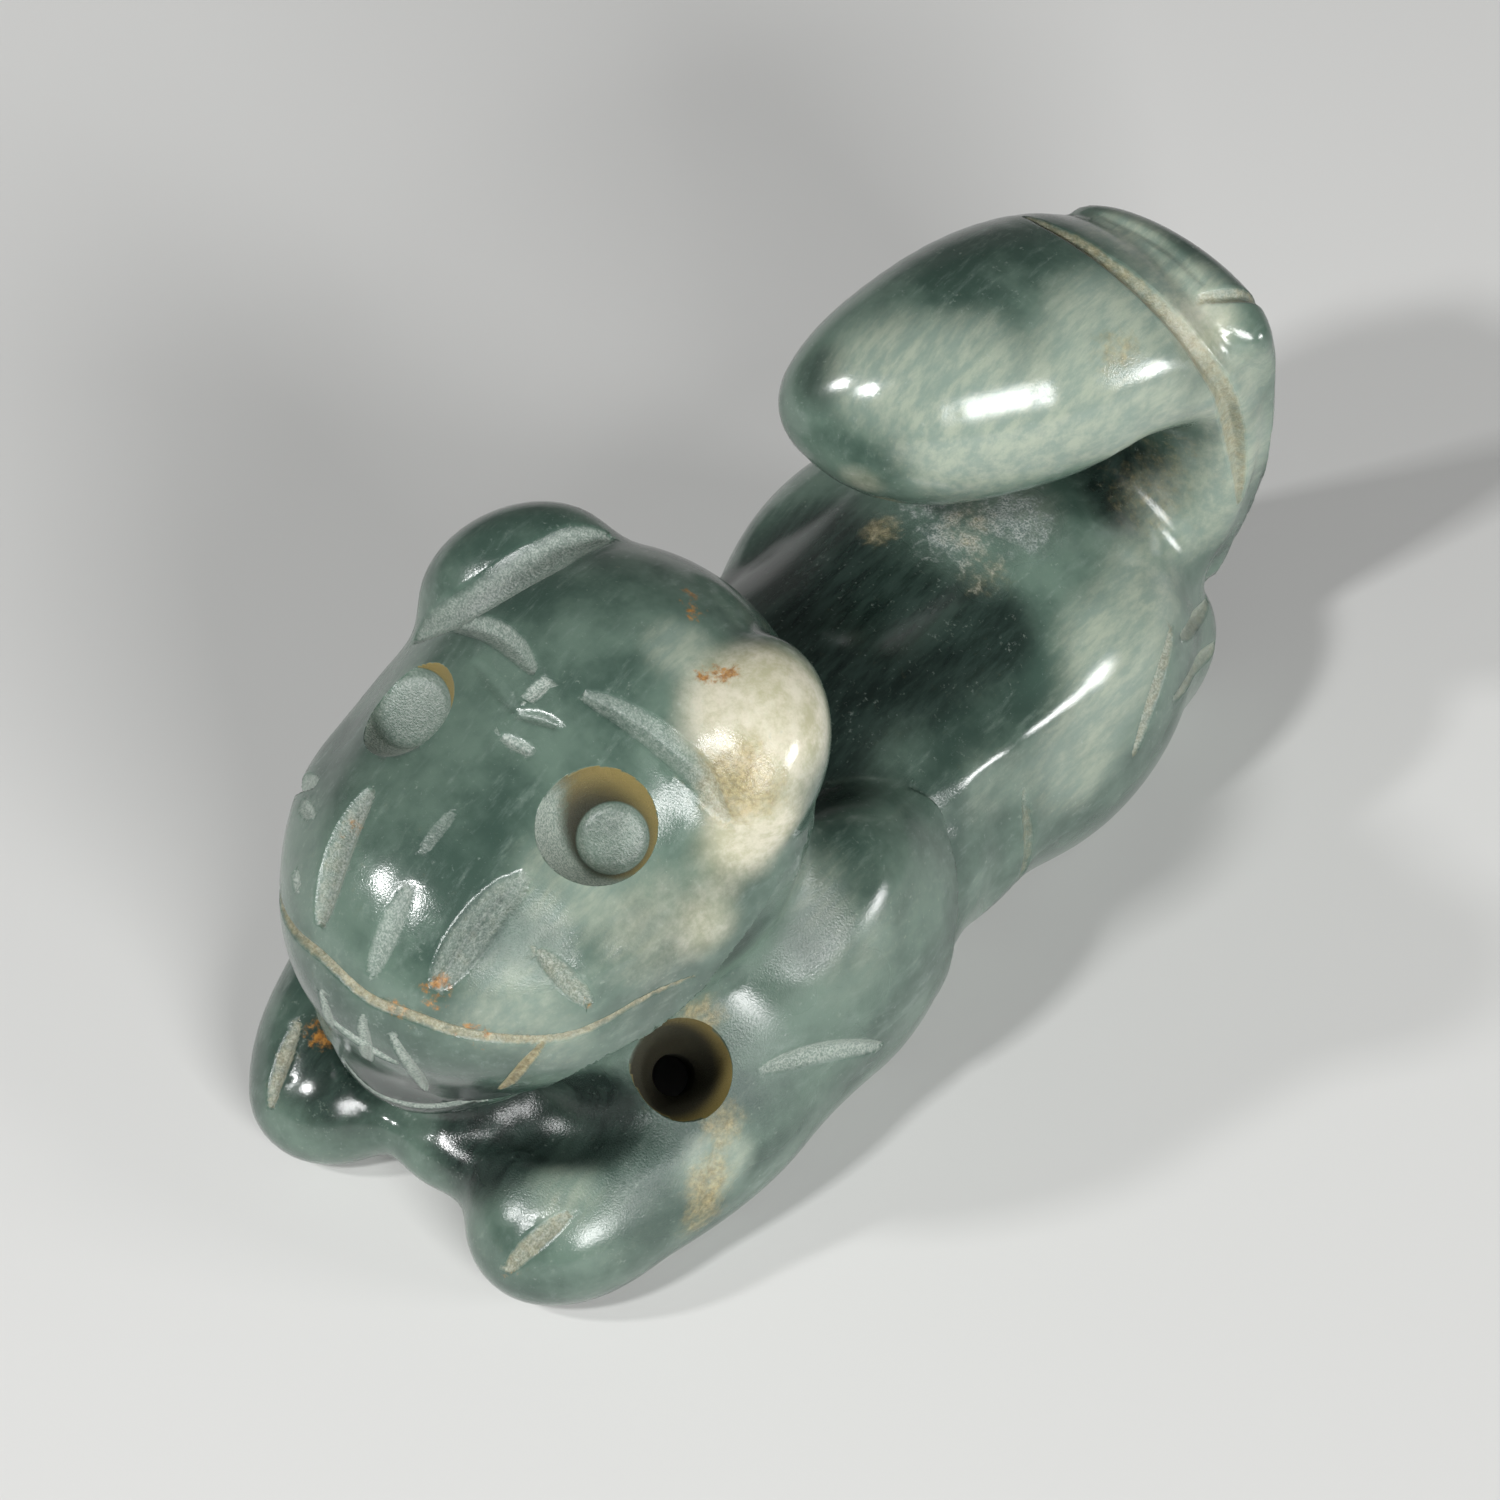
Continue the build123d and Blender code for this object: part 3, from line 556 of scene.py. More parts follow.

# %% [markdown]
# ## The drilled places
# The eyes were sunk with a tube drill: a sloping wall round a nearly flat floor. The cord holes start as
# a wide funnel. Their places could be read off the part, but a worn rim needs more: it also keeps the
# side where the wall has turned gold with old grit, and the side that lies in gloom, where painted
# shade darkens the wall.

# %% Drilled places, in millimetres
Pit = namedtuple("Pit", "name place way rim_r floor_r deep")
PITS = (
    Pit("left eye", (5.9, -18.85, 28.7), (0.20, -0.43, 0.88), 3.00, 1.75, 2.4),
    Pit("right eye", (-6.9, -19.3, 28.8), (-0.05, -0.45, 0.89), 2.85, 2.00, 1.3),
)
MOUTH_R, BORE_R = 2.75, 1.10
# GOLD: the side of a wall with the gold crust. GLOOM: the side in shade, which is painted darker.
EYE_GOLD, EYE_GLOOM = (0.05, 0.87, 0.49), (-0.70, -0.64, 0.25)
HOLE_GOLD, HOLE_GLOOM = (0.89, 0.34, -0.25), (-0.89, -0.34, 0.25)
Rim = namedtuple("Rim", "mouth way r gold golden gloom gloomy")
RIMS = [Rim(pit.place, pit.way, pit.rim_r, EYE_GOLD, 0.3, EYE_GLOOM, 0.1) for pit in PITS]
for side, mouth in HOLES:
    way, gold, gloom_way = [(side * way[0], *way[1:]) for way in (HOLE_WAY, HOLE_GOLD, HOLE_GLOOM)]
    RIMS.append(Rim(mouth, way, MOUTH_R, gold, 1.5, gloom_way, 0.2))


def along_and_off(points, rim):
    """How far each point lies along the rim's axis, and off it."""
    way = np.array(rim.way) / np.linalg.norm(rim.way)
    away = points - np.array(rim.mouth)
    deep = away @ way
    return deep, np.linalg.norm(away - deep[:, None] * way, axis=1)


print("rims", len(RIMS))

# %% [markdown]
# ## Lines on the stone
# The few points of a cut don't lie quite on the stone. A curve object could be shrunk onto the skin,
# but it would not tell its sides apart. So a curve is led through them and slid onto the stone as a
# string of close points that know the ways ahead, out and across. Any point of the skin nearby can
# then say how far along the cut it lies, and how far to which side.

# %% A cut's line, in millimetres
# SAME: how far above or below a line its own skin may lie, and how softly that ends.
LINE_STEP, CURVE_STEPS, LINE_SETTLES = 0.25, 8, 5
SAME_SIDE, SAME_SLOPE, SAME_FADE = 0.9, 0.5, 0.6


class Line:
    """A cut's path laid on the smooth stone as close points, with its ways ahead, out and across."""

    def __init__(self, path):
        rough = smooth_rows(np.array(path, float), CURVE_STEPS)
        run = np.concatenate([[0], np.cumsum(np.linalg.norm(np.diff(rough, axis=0), axis=1))])
        stops = np.linspace(0, run[-1], max(4, int(run[-1] / LINE_STEP)))
        even = np.stack([np.interp(stops, run, rough[:, i]) for i in range(3)], axis=1)
        self.points, self.out = settled(even, LINE_SETTLES)
        self.share = stops / run[-1]
        ahead = np.gradient(self.points, axis=0)
        ahead -= (ahead * self.out).sum(axis=1)[:, None] * self.out
        self.ahead = unit(ahead)
        self.across = np.cross(self.out, self.ahead)

    def nearest(self, points, reach):
        """Which points of the same skin lie within reach, their share along, side, and a fading edge."""
        low, high = self.points.min(axis=0) - reach, self.points.max(axis=0) + reach
        found = np.flatnonzero(((points > low) & (points < high)).all(axis=1))
        away = points[found][:, None] - self.points[None]
        index = (away**2).sum(axis=2).argmin(axis=1)
        offset = away[np.arange(len(found)), index]
        side = (offset * self.across[index]).sum(axis=1)
        lift = np.abs((offset * self.out[index]).sum(axis=1))
        off = np.linalg.norm(offset, axis=1)
        beyond = np.abs((offset * self.ahead[index]).sum(axis=1))
        past_end = ((index == 0) | (index == len(self.points) - 1)) & (beyond > LINE_STEP / 2)
        same = np.clip((SAME_SLOPE * off + SAME_SIDE - lift) / SAME_FADE, 0, 1)
        keep = (off < reach) & (same > 0) & ~past_end
        return found[keep], self.share[index][keep], side[keep], same[keep]


def lines_of(cuts, both=False):
    """Each cut with its line, for both sides also with its mirror image, run backwards to keep its side."""
    pairs = []
    for cut in cuts:
        pairs.append((cut, Line(cut.path)))
        if both:
            pairs.append((cut, Line([(-x, y, z) for x, y, z in reversed(cut.path)])))
    return pairs


groove_lines = lines_of(FACE_GROOVES) + lines_of(LIMB_GROOVES, both=True) + lines_of(PLATE_GROOVES)
fold_lines, step_lines = lines_of(FOLDS, both=True), lines_of(STEPS, both=True)
print("lines", len(groove_lines + fold_lines + step_lines))

# %% [markdown]
# ## A finer skin beside the cuts
# Half a millimetre between points is fine for a belly, but a groove's edge would look chewed. A finer
# remesh everywhere would cost many times the points, so only the faces beside a cut or a drill's rim
# are divided, twice, the second time in a narrower strip.

# %% Dividing near the cuts
FINE_BESIDE = (0.50, 0.08)
RIM_BESIDE, RIM_REACH = 0.15, 2.5


def divide_near(obj, beside):
    """Divides the faces of obj once where a cut or a drill's rim passes."""
    points = points_of(obj.data)
    near = np.zeros(len(points), bool)
    for groove, line in groove_lines:
        near[line.nearest(points, groove.wide / 2 + beside)[0]] = True
    for step, line in step_lines:
        near[line.nearest(points, step.edge + beside)[0]] = True
    for rim in RIMS:
        deep, off = along_and_off(points, rim)
        near |= (np.abs(off - rim.r) < beside + RIM_BESIDE) & (np.abs(deep) < RIM_REACH)
    pick(obj)
    obj.data.vertices.foreach_set("select", near)
    bpy.context.tool_settings.mesh_select_mode = (True, False, False)
    bpy.ops.object.mode_set(mode="EDIT")
    bpy.ops.mesh.subdivide(number_cuts=1)
    bpy.ops.object.mode_set(mode="OBJECT")


for beside in FINE_BESIDE:
    divide_near(cat, beside)
    settle(cat, 1)
print("skin faces", len(cat.data.polygons))

# %% [markdown]
# ## Pressing in the cuts
# A sculpting brush would press the skin in along each line, with a hand's wobble. The same press is
# worked out here: a groove is pointed from above and V-shaped across, a fold is a soft wave, and a step
# is one-sided. Where two grooves cross, the deeper one counts, as in real stone.

# %% Depth of the grooves
TIP_SHAPE, WALL_SHAPE, NARROWEST = 0.45, 1.25, 0.03


def taper(share):
    """From 0 at both ends of a line to 1 at its middle."""
    return np.clip(4 * share * (1 - share), 0, 1)


def lens_of(groove, share, side):
    """How deep a pointed groove is at its middle, and how far across it a point lies, 0 to 1."""
    lens = taper(share) ** TIP_SHAPE
    return lens, np.clip(np.abs(side) / np.maximum(groove.wide / 2 * lens, NARROWEST), 0, 1)


skin = points_of(cat.data)
grooved = np.zeros(len(skin))
for groove, line in groove_lines:
    found, share, side, _ = line.nearest(skin, groove.wide)
    lens, across = lens_of(groove, share, side)
    grooved[found] = np.maximum(grooved[found], groove.deep * lens * (1 - across**WALL_SHAPE))
print("deepest groove in mm", round(float(grooved.max()), 2))

# %% Depth of the folds and steps
STEP_TIP, STEP_FALL, STEP_LIP = 0.5, 2, 1.5

press = np.zeros(len(skin))
for fold, line in fold_lines:
    found, share, side, same = line.nearest(skin, fold.wide)
    across = np.clip(np.abs(side) / (fold.wide / 2), 0, 1)
    press[found] += same * fold.deep * taper(share) * (0.5 + 0.5 * np.cos(np.pi * across))
for step, line in step_lines:
    found, share, side, same = line.nearest(skin, step.reach)
    rise = np.clip(side / step.edge + 0.5, 0, 1)
    fall = np.clip(1 - np.maximum(side, 0) / step.reach, 0, 1) ** STEP_FALL
    lip = step.lip * np.clip(1 + np.minimum(side, 0) / step.reach, 0, 1) ** STEP_LIP
    press[found] += same * taper(share) ** STEP_TIP * (step.deep * rise * fall - lip * (1 - rise))
print("highest lip or ridge in mm", round(float(-press.min()), 2))

# %% Moving the skin in along its own way out
_, skin_way = stone_and_way(skin)
press += grooved
skin = skin - press[:, None] * unit(skin_way)
skin[:, 2] = np.maximum(skin[:, 2], 0)
move_points(cat.data, skin)
print("deepest place in mm", round(float(press.max()), 2))

# %% [markdown]
# ## Drilling
# A drill could be a plain cylinder, but old drills wear: the eye's wall slopes, its floor is a little
# hollow, and the cord hole is a funnel with a short bore. So each drill is the solid that it removes:
# a disc extruded ring by ring down the axis, and taken off the stone with one boolean.

# %% A drill's solid
Ring = namedtuple("Ring", "z r")
WALL_STEPS, DRILL_CORNERS = 9, 96


def drill(mouth, way, rings):
    """A solid turned through the rings, with its axis on the drill's way and its zero at the mouth."""
    first = rings[0]
    bpy.ops.mesh.primitive_circle_add(vertices=DRILL_CORNERS, radius=first.r * MM, fill_type="NGON")
    solid = bpy.context.object
    solid.name = "drill"
    bpy.ops.object.mode_set(mode="EDIT")
    bpy.ops.mesh.select_all(action="SELECT")
    bpy.ops.transform.translate(value=(0, 0, first.z * MM))
    for before, ring in zip(rings, rings[1:]):
        drop = (0, 0, (ring.z - before.z) * MM)
        bpy.ops.mesh.extrude_region_move(TRANSFORM_OT_translate={"value": drop})
        grow = ring.r / before.r
        bpy.ops.transform.resize(value=(grow, grow, 1), center_override=(0, 0, 0))
    bpy.ops.mesh.select_all(action="SELECT")
    bpy.ops.mesh.normals_make_consistent(inside=False)
    bpy.ops.object.mode_set(mode="OBJECT")
    solid.rotation_euler = Vector(way).to_track_quat("Z", "Y").to_euler()
    solid.location = Vector(mouth) * MM
    pick(solid)
    bpy.ops.object.transform_apply(location=True, rotation=True, scale=True)
    return solid


def wall(top, foot):
    """Rings down a straight wall, close enough together to take a stain."""
    shares = np.arange(WALL_STEPS) / WALL_STEPS
    return [Ring(top.z + s * (foot.z - top.z), top.r + s * (foot.r - top.r)) for s in shares]


print("rings in a wall", len(wall(Ring(0, 2), Ring(-1, 1))))

# %% Rings of the eyes and the cord holes, in millimetres
PROUD = 2.0
EYE_FLARE, EYE_BEVEL = 0.7, Ring(0.10, 0.20)
EYE_HOLLOW = (Ring(0.20, 0.15), Ring(0.28, 0.40), Ring(0.32, 0.80))
HOLLOW_MIDDLE = Ring(0.35, 0.30)
FUNNEL_FOOT, BORE_FOOT, EXIT_R = -4.6, -8.6, 3.0

Tool = namedtuple("Tool", "rim rings")
tools = []
for pit, rim in zip(PITS, RIMS):
    bevel = Ring(-EYE_BEVEL.z * pit.deep, pit.rim_r - EYE_BEVEL.r)
    foot = Ring(-pit.deep, pit.floor_r)
    tools.append(Tool(rim, (
        *wall(Ring(PROUD, pit.rim_r + EYE_FLARE), bevel),
        *wall(bevel, foot),
        foot,
        *[Ring(-pit.deep - ring.z, pit.floor_r - ring.r) for ring in EYE_HOLLOW],
        Ring(-pit.deep - HOLLOW_MIDDLE.z, HOLLOW_MIDDLE.r),
    )))
for rim in RIMS[len(PITS):]:
    through = rim.mouth[2] / Vector(rim.way).normalized().z
    exit_ring = Ring(-through - PROUD, EXIT_R)
    tools.append(Tool(rim, (
        Ring(PROUD, MOUTH_R),
        *wall(Ring(0, MOUTH_R), Ring(FUNNEL_FOOT, BORE_R)),
        *wall(Ring(FUNNEL_FOOT, BORE_R), Ring(BORE_FOOT, BORE_R)),
        *wall(Ring(BORE_FOOT, BORE_R), exit_ring),
        exit_ring,
    )))
print("drills", len(tools))

# %% Taking the drills off the stone
drills = [drill(tool.rim.mouth, tool.rim.way, tool.rings) for tool in tools]
join(drills)
for mesh in (cat.data, drills[0].data):
    for _ in ("polished", "drilled"):
        mesh.materials.append(None)
drill_faces = drills[0].data.polygons
drill_faces.foreach_set("material_index", np.ones(len(drill_faces), np.int32))
work(cat, "BOOLEAN", operation="DIFFERENCE", solver="EXACT", material_mode="INDEX", object=drills[0])
bpy.data.objects.remove(drills[0])
print("faces after drilling", len(cat.data.polygons))

# %% [markdown]
# ## Which points lie on a drilled wall
# Stains in a hole stop sharply at its rim. A test by distance would let them spill over it in teeth,
# but the boolean has kept the drills' material number on the faces that they cut. The drilled points
# are those of such faces, without the ones shared with the skin.

# %% Points of the drilled walls, and the final shading
CREASE = 50


def read(items, field):
    """One whole-number field of all faces or corners of a mesh."""
    values = np.empty(len(items), np.int32)
    items.foreach_get(field, values)
    return values


faces = cat.data.polygons
corner_point = read(cat.data.loops, "vertex_index")
corner_drilled = np.repeat(read(faces, "material_index") == 1, read(faces, "loop_total"))
on_wall, on_skin = np.zeros((2, len(cat.data.vertices)), bool)
on_wall[corner_point[corner_drilled]] = True
on_skin[corner_point[~corner_drilled]] = True
on_wall &= ~on_skin
faces.foreach_set("material_index", np.zeros(len(faces), np.int32))
cat.data.materials.clear()
pick(cat)
bpy.ops.object.shade_smooth_by_angle(angle=np.radians(CREASE))
cat.data.calc_loop_triangles()
print("points inside the drilled places", int(on_wall.sum()), "triangles", len(cat.data.loop_triangles))

# %% [markdown]
# ## Where the colour changes
# Jade is never one green. Pale clouds, a cream ear, a dark green back and rust in the cuts are part of
# this stone. The pale clouds on the lit left side are also partly painted light, and the dark back and
# the hollows under the chin, jaw and tail also hold painted shadow. They could be painted on by hand.
# Here each zone is a soft ball around a point of the stone, with its reach and an amount from 0 to 1,
# easy to move. The material breaks up its edges.

# %% Cream and pale clouds, the pale ones partly painted light, in millimetres
Zone = namedtuple("Zone", "place reach amount")
CREAM = (
    Zone((8.4, -9.8, 31.3), 4.7, 1.0),
    Zone((10.8, -13.5, 27.0), 3.4, 0.75),
    Zone((9.6, -19.2, 24.4), 4.2, 0.3),
    Zone((10.2, -16.5, 22.8), 2.4, 0.4),
    Zone((7.8, 25.8, 28.0), 3.0, 0.45),
    Zone((-1.0, 9.4, 24.6), 1.8, 0.4),
)
PALE_AND_LIT = (
    # Pale clouds of the stone, partly painted light where the side lamps fall on tail, flank, haunch, paw
    # and cheek.
    Zone((-1.5, 12.0, 30.0), 4.2, 0.8),
    Zone((3.5, 12.5, 27.0), 4.6, 0.9),
    Zone((6.0, 16.5, 28.0), 4.6, 0.9),
    Zone((5.5, 20.8, 30.5), 4.4, 0.9),
    Zone((8.5, 20.8, 26.0), 4.0, 0.8),
    Zone((1.6, 15.0, 31.0), 3.0, 0.7),
    Zone((1.4, 27.3, 29.4), 3.2, 0.8),
    Zone((6.5, 26.3, 28.5), 3.6, 1.0),
    Zone((10.0, 26.3, 24.0), 3.6, 0.8),
    Zone((10.3, 27.2, 18.5), 3.6, 0.8),
    Zone((8.5, 25.3, 14.5), 4.2, 0.7),
    Zone((2.8, 17.8, 17.8), 3.4, 0.4),
    Zone((9.8, 20.0, 14.0), 3.6, 0.8),
    Zone((11.2, 15.5, 13.9), 4.4, 0.9),
    Zone((12.6, 10.8, 11.0), 4.4, 0.75),
    Zone((11.0, 5.0, 13.0), 3.0, 0.4),
    Zone((13.0, -4.8, 15.0), 4.2, 0.25),
    Zone((13.2, -9.0, 13.8), 3.4, 0.35),
    Zone((10.3, -8.5, 18.0), 3.0, 0.5),
    Zone((9.9, -20.5, 19.5), 3.2, 0.3),
    Zone((8.2, -25.0, 20.0), 2.4, 0.5),
    Zone((11.2, -25.0, 6.4), 4.2, 0.25),
    Zone((8.3, -25.6, 7.6), 2.4, 0.5),
    Zone((13.2, -19.2, 7.2), 2.6, 0.8),
    Zone((5.7, -22.1, 27.8), 3.2, 0.6),
    Zone((6.4, -26.8, 23.5), 3.8, 0.6),
    Zone((8.8, -20.5, 25.0), 3.8, 0.5),
    Zone((3.3, -10.2, 32.3), 2.4, 0.7),
)
print("cream zones", len(CREAM), "pale zones", len(PALE_AND_LIT))

# %% Dark body, and painted shadow on the back and under chin, jaw and tail, in millimetres
DARK_AND_SHADOW = (
    # The back and the top of the tail, darker: the stone's dark green, with the head's shadow painted on
    # the back.
    Zone((2.5, 6.0, 17.5), 7.5, 1.0),
    Zone((-5.0, 8.5, 15.5), 6.0, 0.9),
    Zone((5.0, -2.0, 17.5), 4.5, 0.9),
    Zone((6.5, 10.5, 16.6), 3.4, 0.8),
    Zone((-1.6, 19.5, 31.9), 5.0, 0.3),
    Zone((-4.5, 10.2, 29.0), 2.4, 0.6),
    # Painted shadow in the hollows under the chin, the jaw and the tail; the right paw is made darker too.
    Zone((3.2, -24.8, 6.6), 4.6, 1.0),
    Zone((5.5, 23.4, 15.7), 3.8, 0.9),
    Zone((-5.6, -27.0, 6.5), 4.4, 0.75),
    Zone((7.2, -22.0, 9.2), 3.4, 1.0),
    Zone((1.0, -28.4, 13.0), 5.0, 0.95),
    Zone((4.4, -28.0, 15.5), 3.0, 0.6),
    # Darker on the neck behind the cheek's edge, and painted shade that dims a glare on the shoulder.
    Zone((10.5, -15.1, 18.2), 3.0, 0.6),
    Zone((11.9, -10.4, 16.0), 2.8, 0.4),
)
print("dark zones", len(DARK_AND_SHADOW))

# %% Dulled polish, and the worn patch on the back, in millimetres
SATIN = (
    Zone((10.6, -10.0, 16.8), 3.5, 0.6),
    Zone((11.1, -13.4, 18.0), 4.0, 0.7),
    Zone((9.8, -18.6, 13.4), 4.5, 0.9),
    Zone((13.2, -8.9, 12.1), 4.5, 0.4),
    Zone((12.5, -15.5, 9.0), 4.5, 0.8),
    Zone((11.0, -21.7, 7.8), 4.5, 0.8),
    Zone((4.5, -24.5, 7.5), 4.5, 0.5),
    Zone((5.9, -25.4, 26.2), 3.0, 0.8),
    Zone((9.5, 1.5, 14.3), 2.6, 0.35),
)
WORN = (
    Zone((1.5, 13.6, 17.9), 2.6, 0.95),
    Zone((3.6, 16.6, 17.9), 2.8, 1.0),
    Zone((-0.8, 14.6, 17.7), 2.0, 0.85),
    Zone((4.4, 12.6, 17.4), 1.8, 0.6),
    Zone((-1.8, 11.8, 17.4), 1.5, 0.7),
    Zone((-7.6, 8.6, 14.6), 1.2, 0.5),
)
print("satin zones", len(SATIN), "worn zones", len(WORN))

# %% Tan crust and rust, in millimetres
TAN = (
    Zone((4.4, 12.8, 17.5), 1.8, 0.25),
    Zone((1.8, 14.4, 17.9), 2.0, 0.3),
    Zone((-1.8, 11.8, 17.5), 1.4, 0.45),
    Zone((6.3, 24.2, 14.8), 3.2, 0.25),
    Zone((7.0, 25.2, 18.5), 2.4, 0.2),
    Zone((6.5, 20.5, 29.8), 1.8, 0.35),
    Zone((12.4, -18.0, 9.0), 1.6, 0.45),
    Zone((13.1, -19.8, 6.8), 1.8, 0.5),
    Zone((13.3, -20.6, 4.6), 1.8, 0.45),
    Zone((9.4, -16.0, 13.2), 1.6, 0.5),
    Zone((9.5, -13.2, 29.8), 2.8, 0.62),
)
RUST = (
    Zone((5.0, -10.3, 31.9), 1.0, 1.0),
    Zone((6.0, -9.6, 32.0), 1.1, 1.0),
    Zone((1.3, -7.0, 32.0), 1.3, 0.9),
    Zone((2.3, -8.0, 32.1), 1.0, 0.9),
    Zone((3.8, -29.2, 24.4), 1.5, 1.0),
    Zone((8.8, -23.8, 22.3), 0.9, 0.9),
    Zone((2.4, -30.5, 23.2), 1.0, 1.0),
    Zone((5.8, -28.8, 22.2), 1.8, 0.8),
    Zone((-4.3, -26.3, 27.7), 1.3, 0.9),
    Zone((-7.7, -26.1, 7.0), 1.5, 1.0),
    Zone((8.0, -29.5, 4.3), 0.8, 0.8),
)
ZONES = {"cream": CREAM, "pale": PALE_AND_LIT, "dark": DARK_AND_SHADOW, "satin": SATIN, "worn": WORN, "tan": TAN, "rust": RUST}
print("tan zones", len(TAN), "rust zones", len(RUST))

# %% [markdown]
# ## Marks on the skin's points
# A texture image would need the skin laid flat. A number on every point does without, one for each
# kind of mark. The cuts bring their own frost and tan, and so do the drilled walls, where old grit has
# left a gold crust. The gloom mark is painted shade: it darkens each wall on the side that lies in
# shade and further down.

# %% Marks of the zones and the cuts
KINDS = ("frost", "satin", "worn", "cream", "rust", "tan", "pale", "dark", "crust", "gloom")
ZONE_END = 1.3
STAIN_END, STAIN_FADE = 1.05, 0.35

skin = points_of(cat.data)
marks_of = {kind: np.zeros(len(skin)) for kind in KINDS}
for kind, zones in ZONES.items():
    values = marks_of[kind]
    for zone in zones:
        off = np.linalg.norm(skin - np.array(zone.place), axis=1) / zone.reach
        inner = np.clip(ZONE_END - off, 0, 1)
        values += (1 - values) * zone.amount * inner**2 * (3 - 2 * inner)
frost, tan, crust, gloom = [marks_of[kind] for kind in ("frost", "tan", "crust", "gloom")]
for groove, line in groove_lines:
    found, share, side, _ = line.nearest(skin, groove.wide)
    _, across = lens_of(groove, share, side)
    in_cut = np.clip((STAIN_END - across) / STAIN_FADE, 0, 1)
    frost[found] = np.maximum(frost[found], groove.frost * in_cut)
    tan[found] = np.maximum(tan[found], groove.tan * in_cut)
print("frosted points", int((frost > 0.5).sum()))

# %% Marks of the drilled walls and the pits' floors
GOLD_BY_SIDE, GOLD_BY_DEPTH = 1.2, 1.6
GLOOM_LEAST, GLOOM_SPAN, GLOOM_BY_SIDE, GLOOM_BY_DEPTH = 0.35, 0.3, 0.6, 1.1
WALL_FROST, FLOOR_FROST, FLOOR_SLACK = 0.8, 0.45, 0.15

own_rim = np.argmin([along_and_off(skin, rim)[1] for rim in RIMS], axis=0)
for index, rim in enumerate(RIMS):
    here = on_wall & (own_rim == index)
    away = (skin - np.array(rim.mouth)) / rim.r
    down = np.clip(-away @ np.array(rim.way), 0, 1)
    golden, gloomy = away @ np.array(rim.gold), away @ np.array(rim.gloom)
    for values in marks_of.values():
        values[here] = 0
    crust[here] = np.clip(rim.golden + GOLD_BY_SIDE * golden + GOLD_BY_DEPTH * down, 0, 1)[here]
    frost[here] = WALL_FROST * (1 - crust[here])
    # Painted shade: gloom grows toward the wall's shaded side and with depth.
    deep_gloom = np.clip(rim.gloomy + GLOOM_BY_SIDE * gloomy + GLOOM_BY_DEPTH * down, 0, 1)
    gloom[here] = GLOOM_LEAST + GLOOM_SPAN * deep_gloom[here]
for index, pit in enumerate(PITS):
    deep, _ = along_and_off(skin, RIMS[index])
    here = on_wall & (own_rim == index) & (-deep - pit.deep + FLOOR_SLACK > 0)
    frost[here] = FLOOR_FROST
    crust[here] = 0
for name, values in marks_of.items():
    mark = cat.data.attributes.new(name, "FLOAT", "POINT")
    mark.data.foreach_set("value", values.astype(np.float32))
print("marks", len(marks_of))

# %% [markdown]
# ## Polished jade
# Jade is a mass of tiny locked crystals. It was ground with ever finer grit and rubbed with soft polish
# until it shone like wax, but only where the hand could reach: cuts and drilled walls stayed frosted.
# To the eye that gives cloudy, slightly see-through greens under small sharp lights, beside dry grey
# marks. It could be several materials, but it is one stone, so one material reads the marks.

# %% Patterns of the jade, in millimetres
# Clouds of 7 mm and a mottle of 2 mm are the real patches of this stone, 0.6 and 0.7 mm its streaks
# and the branching of rust in its cracks. Real crystals and grit scratches are a few hundredths of
# a millimetre, too fine for a render pixel of 0.08 mm, so speck and grit are drawn coarser.
Pattern = namedtuple("Pattern", "name size detail rough along")
PATTERNS = (
    Pattern("cloud", 7.0, 5, 0.60, False),
    Pattern("mottle", 2.0, 8, 0.74, False),
    Pattern("fibre", 0.6, 6, 0.68, True),
    Pattern("seep", 0.7, 5, 0.70, False),
    Pattern("speck", 0.30, 4, 0.70, False),
    Pattern("grit", 0.11, 2, 0.60, False),
)
FIBRE_TURN, FIBRE_SHARES = (0.3, 0.5, 0.6), (1.0, 0.22, 0.6)
print("patterns in mm", {pattern.name: pattern.size for pattern in PATTERNS})

# %% Marks and patterns that the jade reads
jade = bpy.data.materials.new("jade_polished")
jade.use_nodes = True
tree = jade.node_tree
tree.nodes.clear()
place = add(tree, "ShaderNodeTexCoord").outputs["Object"]
in_mm = add(tree, "ShaderNodeMapping", {"Vector": place, "Scale": (1 / MM, 1 / MM, 1 / MM)}).outputs[0]
along = add(tree, "ShaderNodeMapping", {
    "Vector": in_mm,
    "Rotation": FIBRE_TURN,
    "Scale": FIBRE_SHARES,
}).outputs[0]
reads = {}
for kind in KINDS:
    reads[kind] = add(tree, "ShaderNodeAttribute", attribute_name=kind).outputs["Fac"]
for pattern in PATTERNS:
    noise = add(tree, "ShaderNodeTexNoise", {
        "Vector": along if pattern.along else in_mm,
        "Scale": 1 / pattern.size,
        "Detail": pattern.detail,
        "Roughness": pattern.rough,
    })
    reads[pattern.name] = noise.outputs["Fac"]
print("marks and patterns", len(reads))

# %% [markdown]
# ## Colours of the jade
# Each colour could be a chain of nodes of its own. They are layers instead, from the green ground up
# to the rust: each blends two shades by one pattern and lies over what is below where its mark is
# strong, with an edge frayed by another pattern.

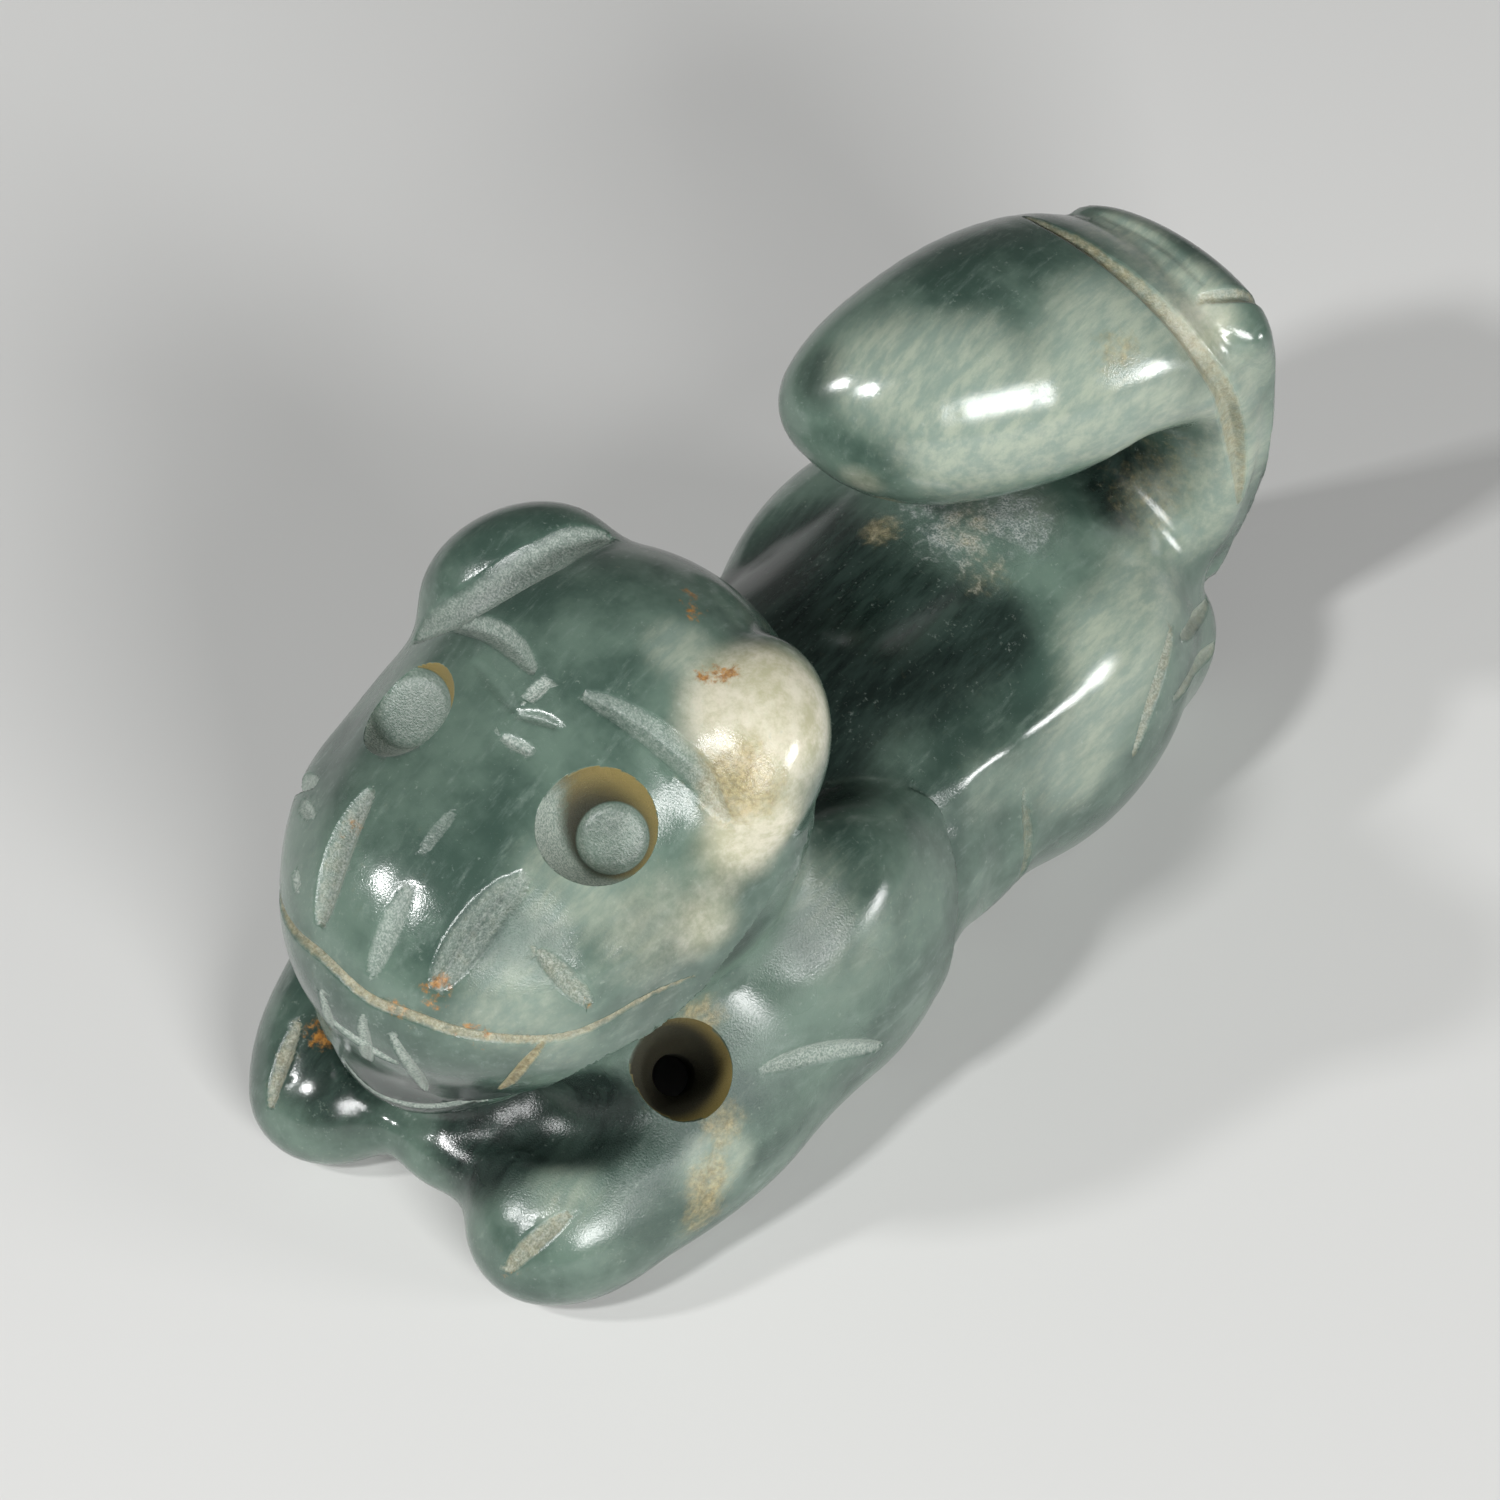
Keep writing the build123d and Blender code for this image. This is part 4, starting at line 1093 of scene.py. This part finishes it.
# %% Layers: shade and light, blended by texture; laid where a mark is, its edge frayed; at most so much
Layer = namedtuple("Layer", "name shade light texture where fray_by fray start full most")
LAYERS = (
    Layer("green ground", "#3B4F46", "#62766A", "cloud", "cloud", "cloud", 0, -1, 0, 1),
    Layer("fibres", "#75867D", "#8C9B92", "speck", "fibre", "mottle", 0, 0.5, 0.8, 0.4),
    # The dark body layer is partly the stone's dark green and partly painted shadow.
    Layer("dark body", "#182420", "#2A3933", "fibre", "dark", "mottle", 0.35, 0.1, 0.9, 1),
    # The pale green layer is partly the stone's pale clouds and partly painted light.
    Layer("pale green", "#87978C", "#A3AC9B", "fibre", "pale", "mottle", 0.3, 0.1, 1.0, 0.9),
    Layer("cream", "#B8B597", "#DAD5C1", "mottle", "cream", "mottle", 0.3, 0.1, 0.9, 0.95),
    Layer("flecks", "#93A299", "#B3BDB4", "grit", "speck", "mottle", 0.4, 0.6, 0.78, 0.3),
    Layer("worn patch", "#5E6E6B", "#B4B9B4", "grit", "worn", "seep", 2.4, 0.55, 1.15, 0.75),
    Layer("tan crust", "#7D6C3F", "#B3A273", "speck", "tan", "seep", 0.9, 0.1, 0.8, 0.8),
    Layer("ground grit", "#78877E", "#B3BBB2", "grit", "frost", "speck", 0.7, 0.1, 0.9, 0.85),
    # The drill crust's gold is a stain; its dark end, laid by the gloom mark, is painted shade.
    Layer("drill crust", "#8C7A42", "#2A2410", "gloom", "crust", "speck", 0.7, 0.1, 0.9, 0.92),
    Layer("rust", "#8A5A24", "#BF8840", "speck", "rust", "seep", 2.2, 0.78, 1.25, 0.85),
)
TEXTURE_SPAN = (0.35, 0.65)
print("layers", len(LAYERS))

# %% Colour of the jade, layer over layer
colour = linear("#4E6258")
for layer in LAYERS:
    blend = add(tree, "ShaderNodeMapRange", {
        "Value": reads[layer.texture],
        "From Min": TEXTURE_SPAN[0],
        "From Max": TEXTURE_SPAN[1],
    }, interpolation_type="SMOOTHSTEP")
    own = add(tree, "ShaderNodeMix", {
        0: blend.outputs[0],
        6: linear(layer.shade),
        7: linear(layer.light),
    }, data_type="RGBA")
    frayed = add(tree, "ShaderNodeMath", {
        0: reads[layer.fray_by],
        1: layer.fray,
        2: reads[layer.where],
    }, operation="MULTIPLY_ADD")
    share = add(tree, "ShaderNodeMapRange", {
        "Value": frayed.outputs[0],
        "From Min": layer.start + layer.fray / 2,
        "From Max": layer.full + layer.fray / 2,
        "To Max": layer.most,
    }, interpolation_type="SMOOTHSTEP")
    over = add(tree, "ShaderNodeMix", {0: share.outputs[0], 6: colour, 7: own.outputs[2]}, data_type="RGBA")
    colour = over.outputs[2]
print("jade nodes so far", len(tree.nodes))

# %% [markdown]
# ## Gloss and grain of the jade
# The polish decides how sharp a lamp looks in the stone: a waxy hand polish is near 0.16 in roughness,
# ground stone near 0.6. Jade's index of refraction lies between 1.61 and 1.67. Some light goes in by
# half a millimetre and comes back softened. Ground places could be modelled pit by pit, but the pits
# are too fine for that, so a bump of 0.2 mm at most, coarser than they are, stands for them.

# %% Gloss, grain and the finished stone
DULL = (("frost", 1.0), ("crust", 1.0), ("tan", 0.6), ("worn", 0.7), ("satin", 0.7))
POLISHED, GROUND = 0.16, 0.62
SMOOTH_GRAIN, ROUGH_GRAIN, GRAIN_HIGH = 0.05, 0.6, 0.2

dull = 0.0
for mark, weight in DULL:
    summed = add(tree, "ShaderNodeMath", {0: reads[mark], 1: weight, 2: dull}, operation="MULTIPLY_ADD")
    dull = summed.outputs[0]
rough = add(tree, "ShaderNodeMapRange", {"Value": dull, "To Min": POLISHED, "To Max": GROUND})
relief = add(tree, "ShaderNodeMapRange", {"Value": dull, "To Min": SMOOTH_GRAIN, "To Max": ROUGH_GRAIN})
height = add(tree, "ShaderNodeMath", {0: reads["grit"], 1: relief.outputs[0]}, operation="MULTIPLY")
grain = add(tree, "ShaderNodeBump", {
    "Height": height.outputs[0],
    "Strength": 0.6,
    "Distance": GRAIN_HIGH * MM,
})
stone_look = add(tree, "ShaderNodeBsdfPrincipled", {
    "Base Color": colour,
    "Roughness": rough.outputs[0],
    "IOR": 1.62,
    "Subsurface Weight": 0.25,
    "Subsurface Radius": (0.5, 0.7, 0.55),
    "Subsurface Scale": MM,
    "Normal": grain.outputs[0],
})
add(tree, "ShaderNodeOutputMaterial", {"Surface": stone_look.outputs[0]})
cat.data.materials.append(jade)
print("jade nodes", len(tree.nodes))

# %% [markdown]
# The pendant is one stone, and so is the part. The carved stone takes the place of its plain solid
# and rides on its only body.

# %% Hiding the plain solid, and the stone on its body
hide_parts("jade_cat")
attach(cat, "root")
print("piece", cat.name)

# %% [markdown]
# ## Room light
# A room's pale walls send a little light from everywhere. Walls would be much to model for that, so
# the world gives one weak, even tone.

# %% Room light
ROOM_COLOUR, ROOM_STRENGTH = "#F4F6F8", 0.06

world = bpy.data.worlds.new("soft_room")
bpy.context.scene.world = world
world.use_nodes = True
room = world.node_tree.nodes["Background"]
room.inputs["Color"].default_value = linear(ROOM_COLOUR)
room.inputs["Strength"].default_value = ROOM_STRENGTH
bpy.context.scene.view_settings.view_transform = "Standard"
print("room light", ROOM_STRENGTH)
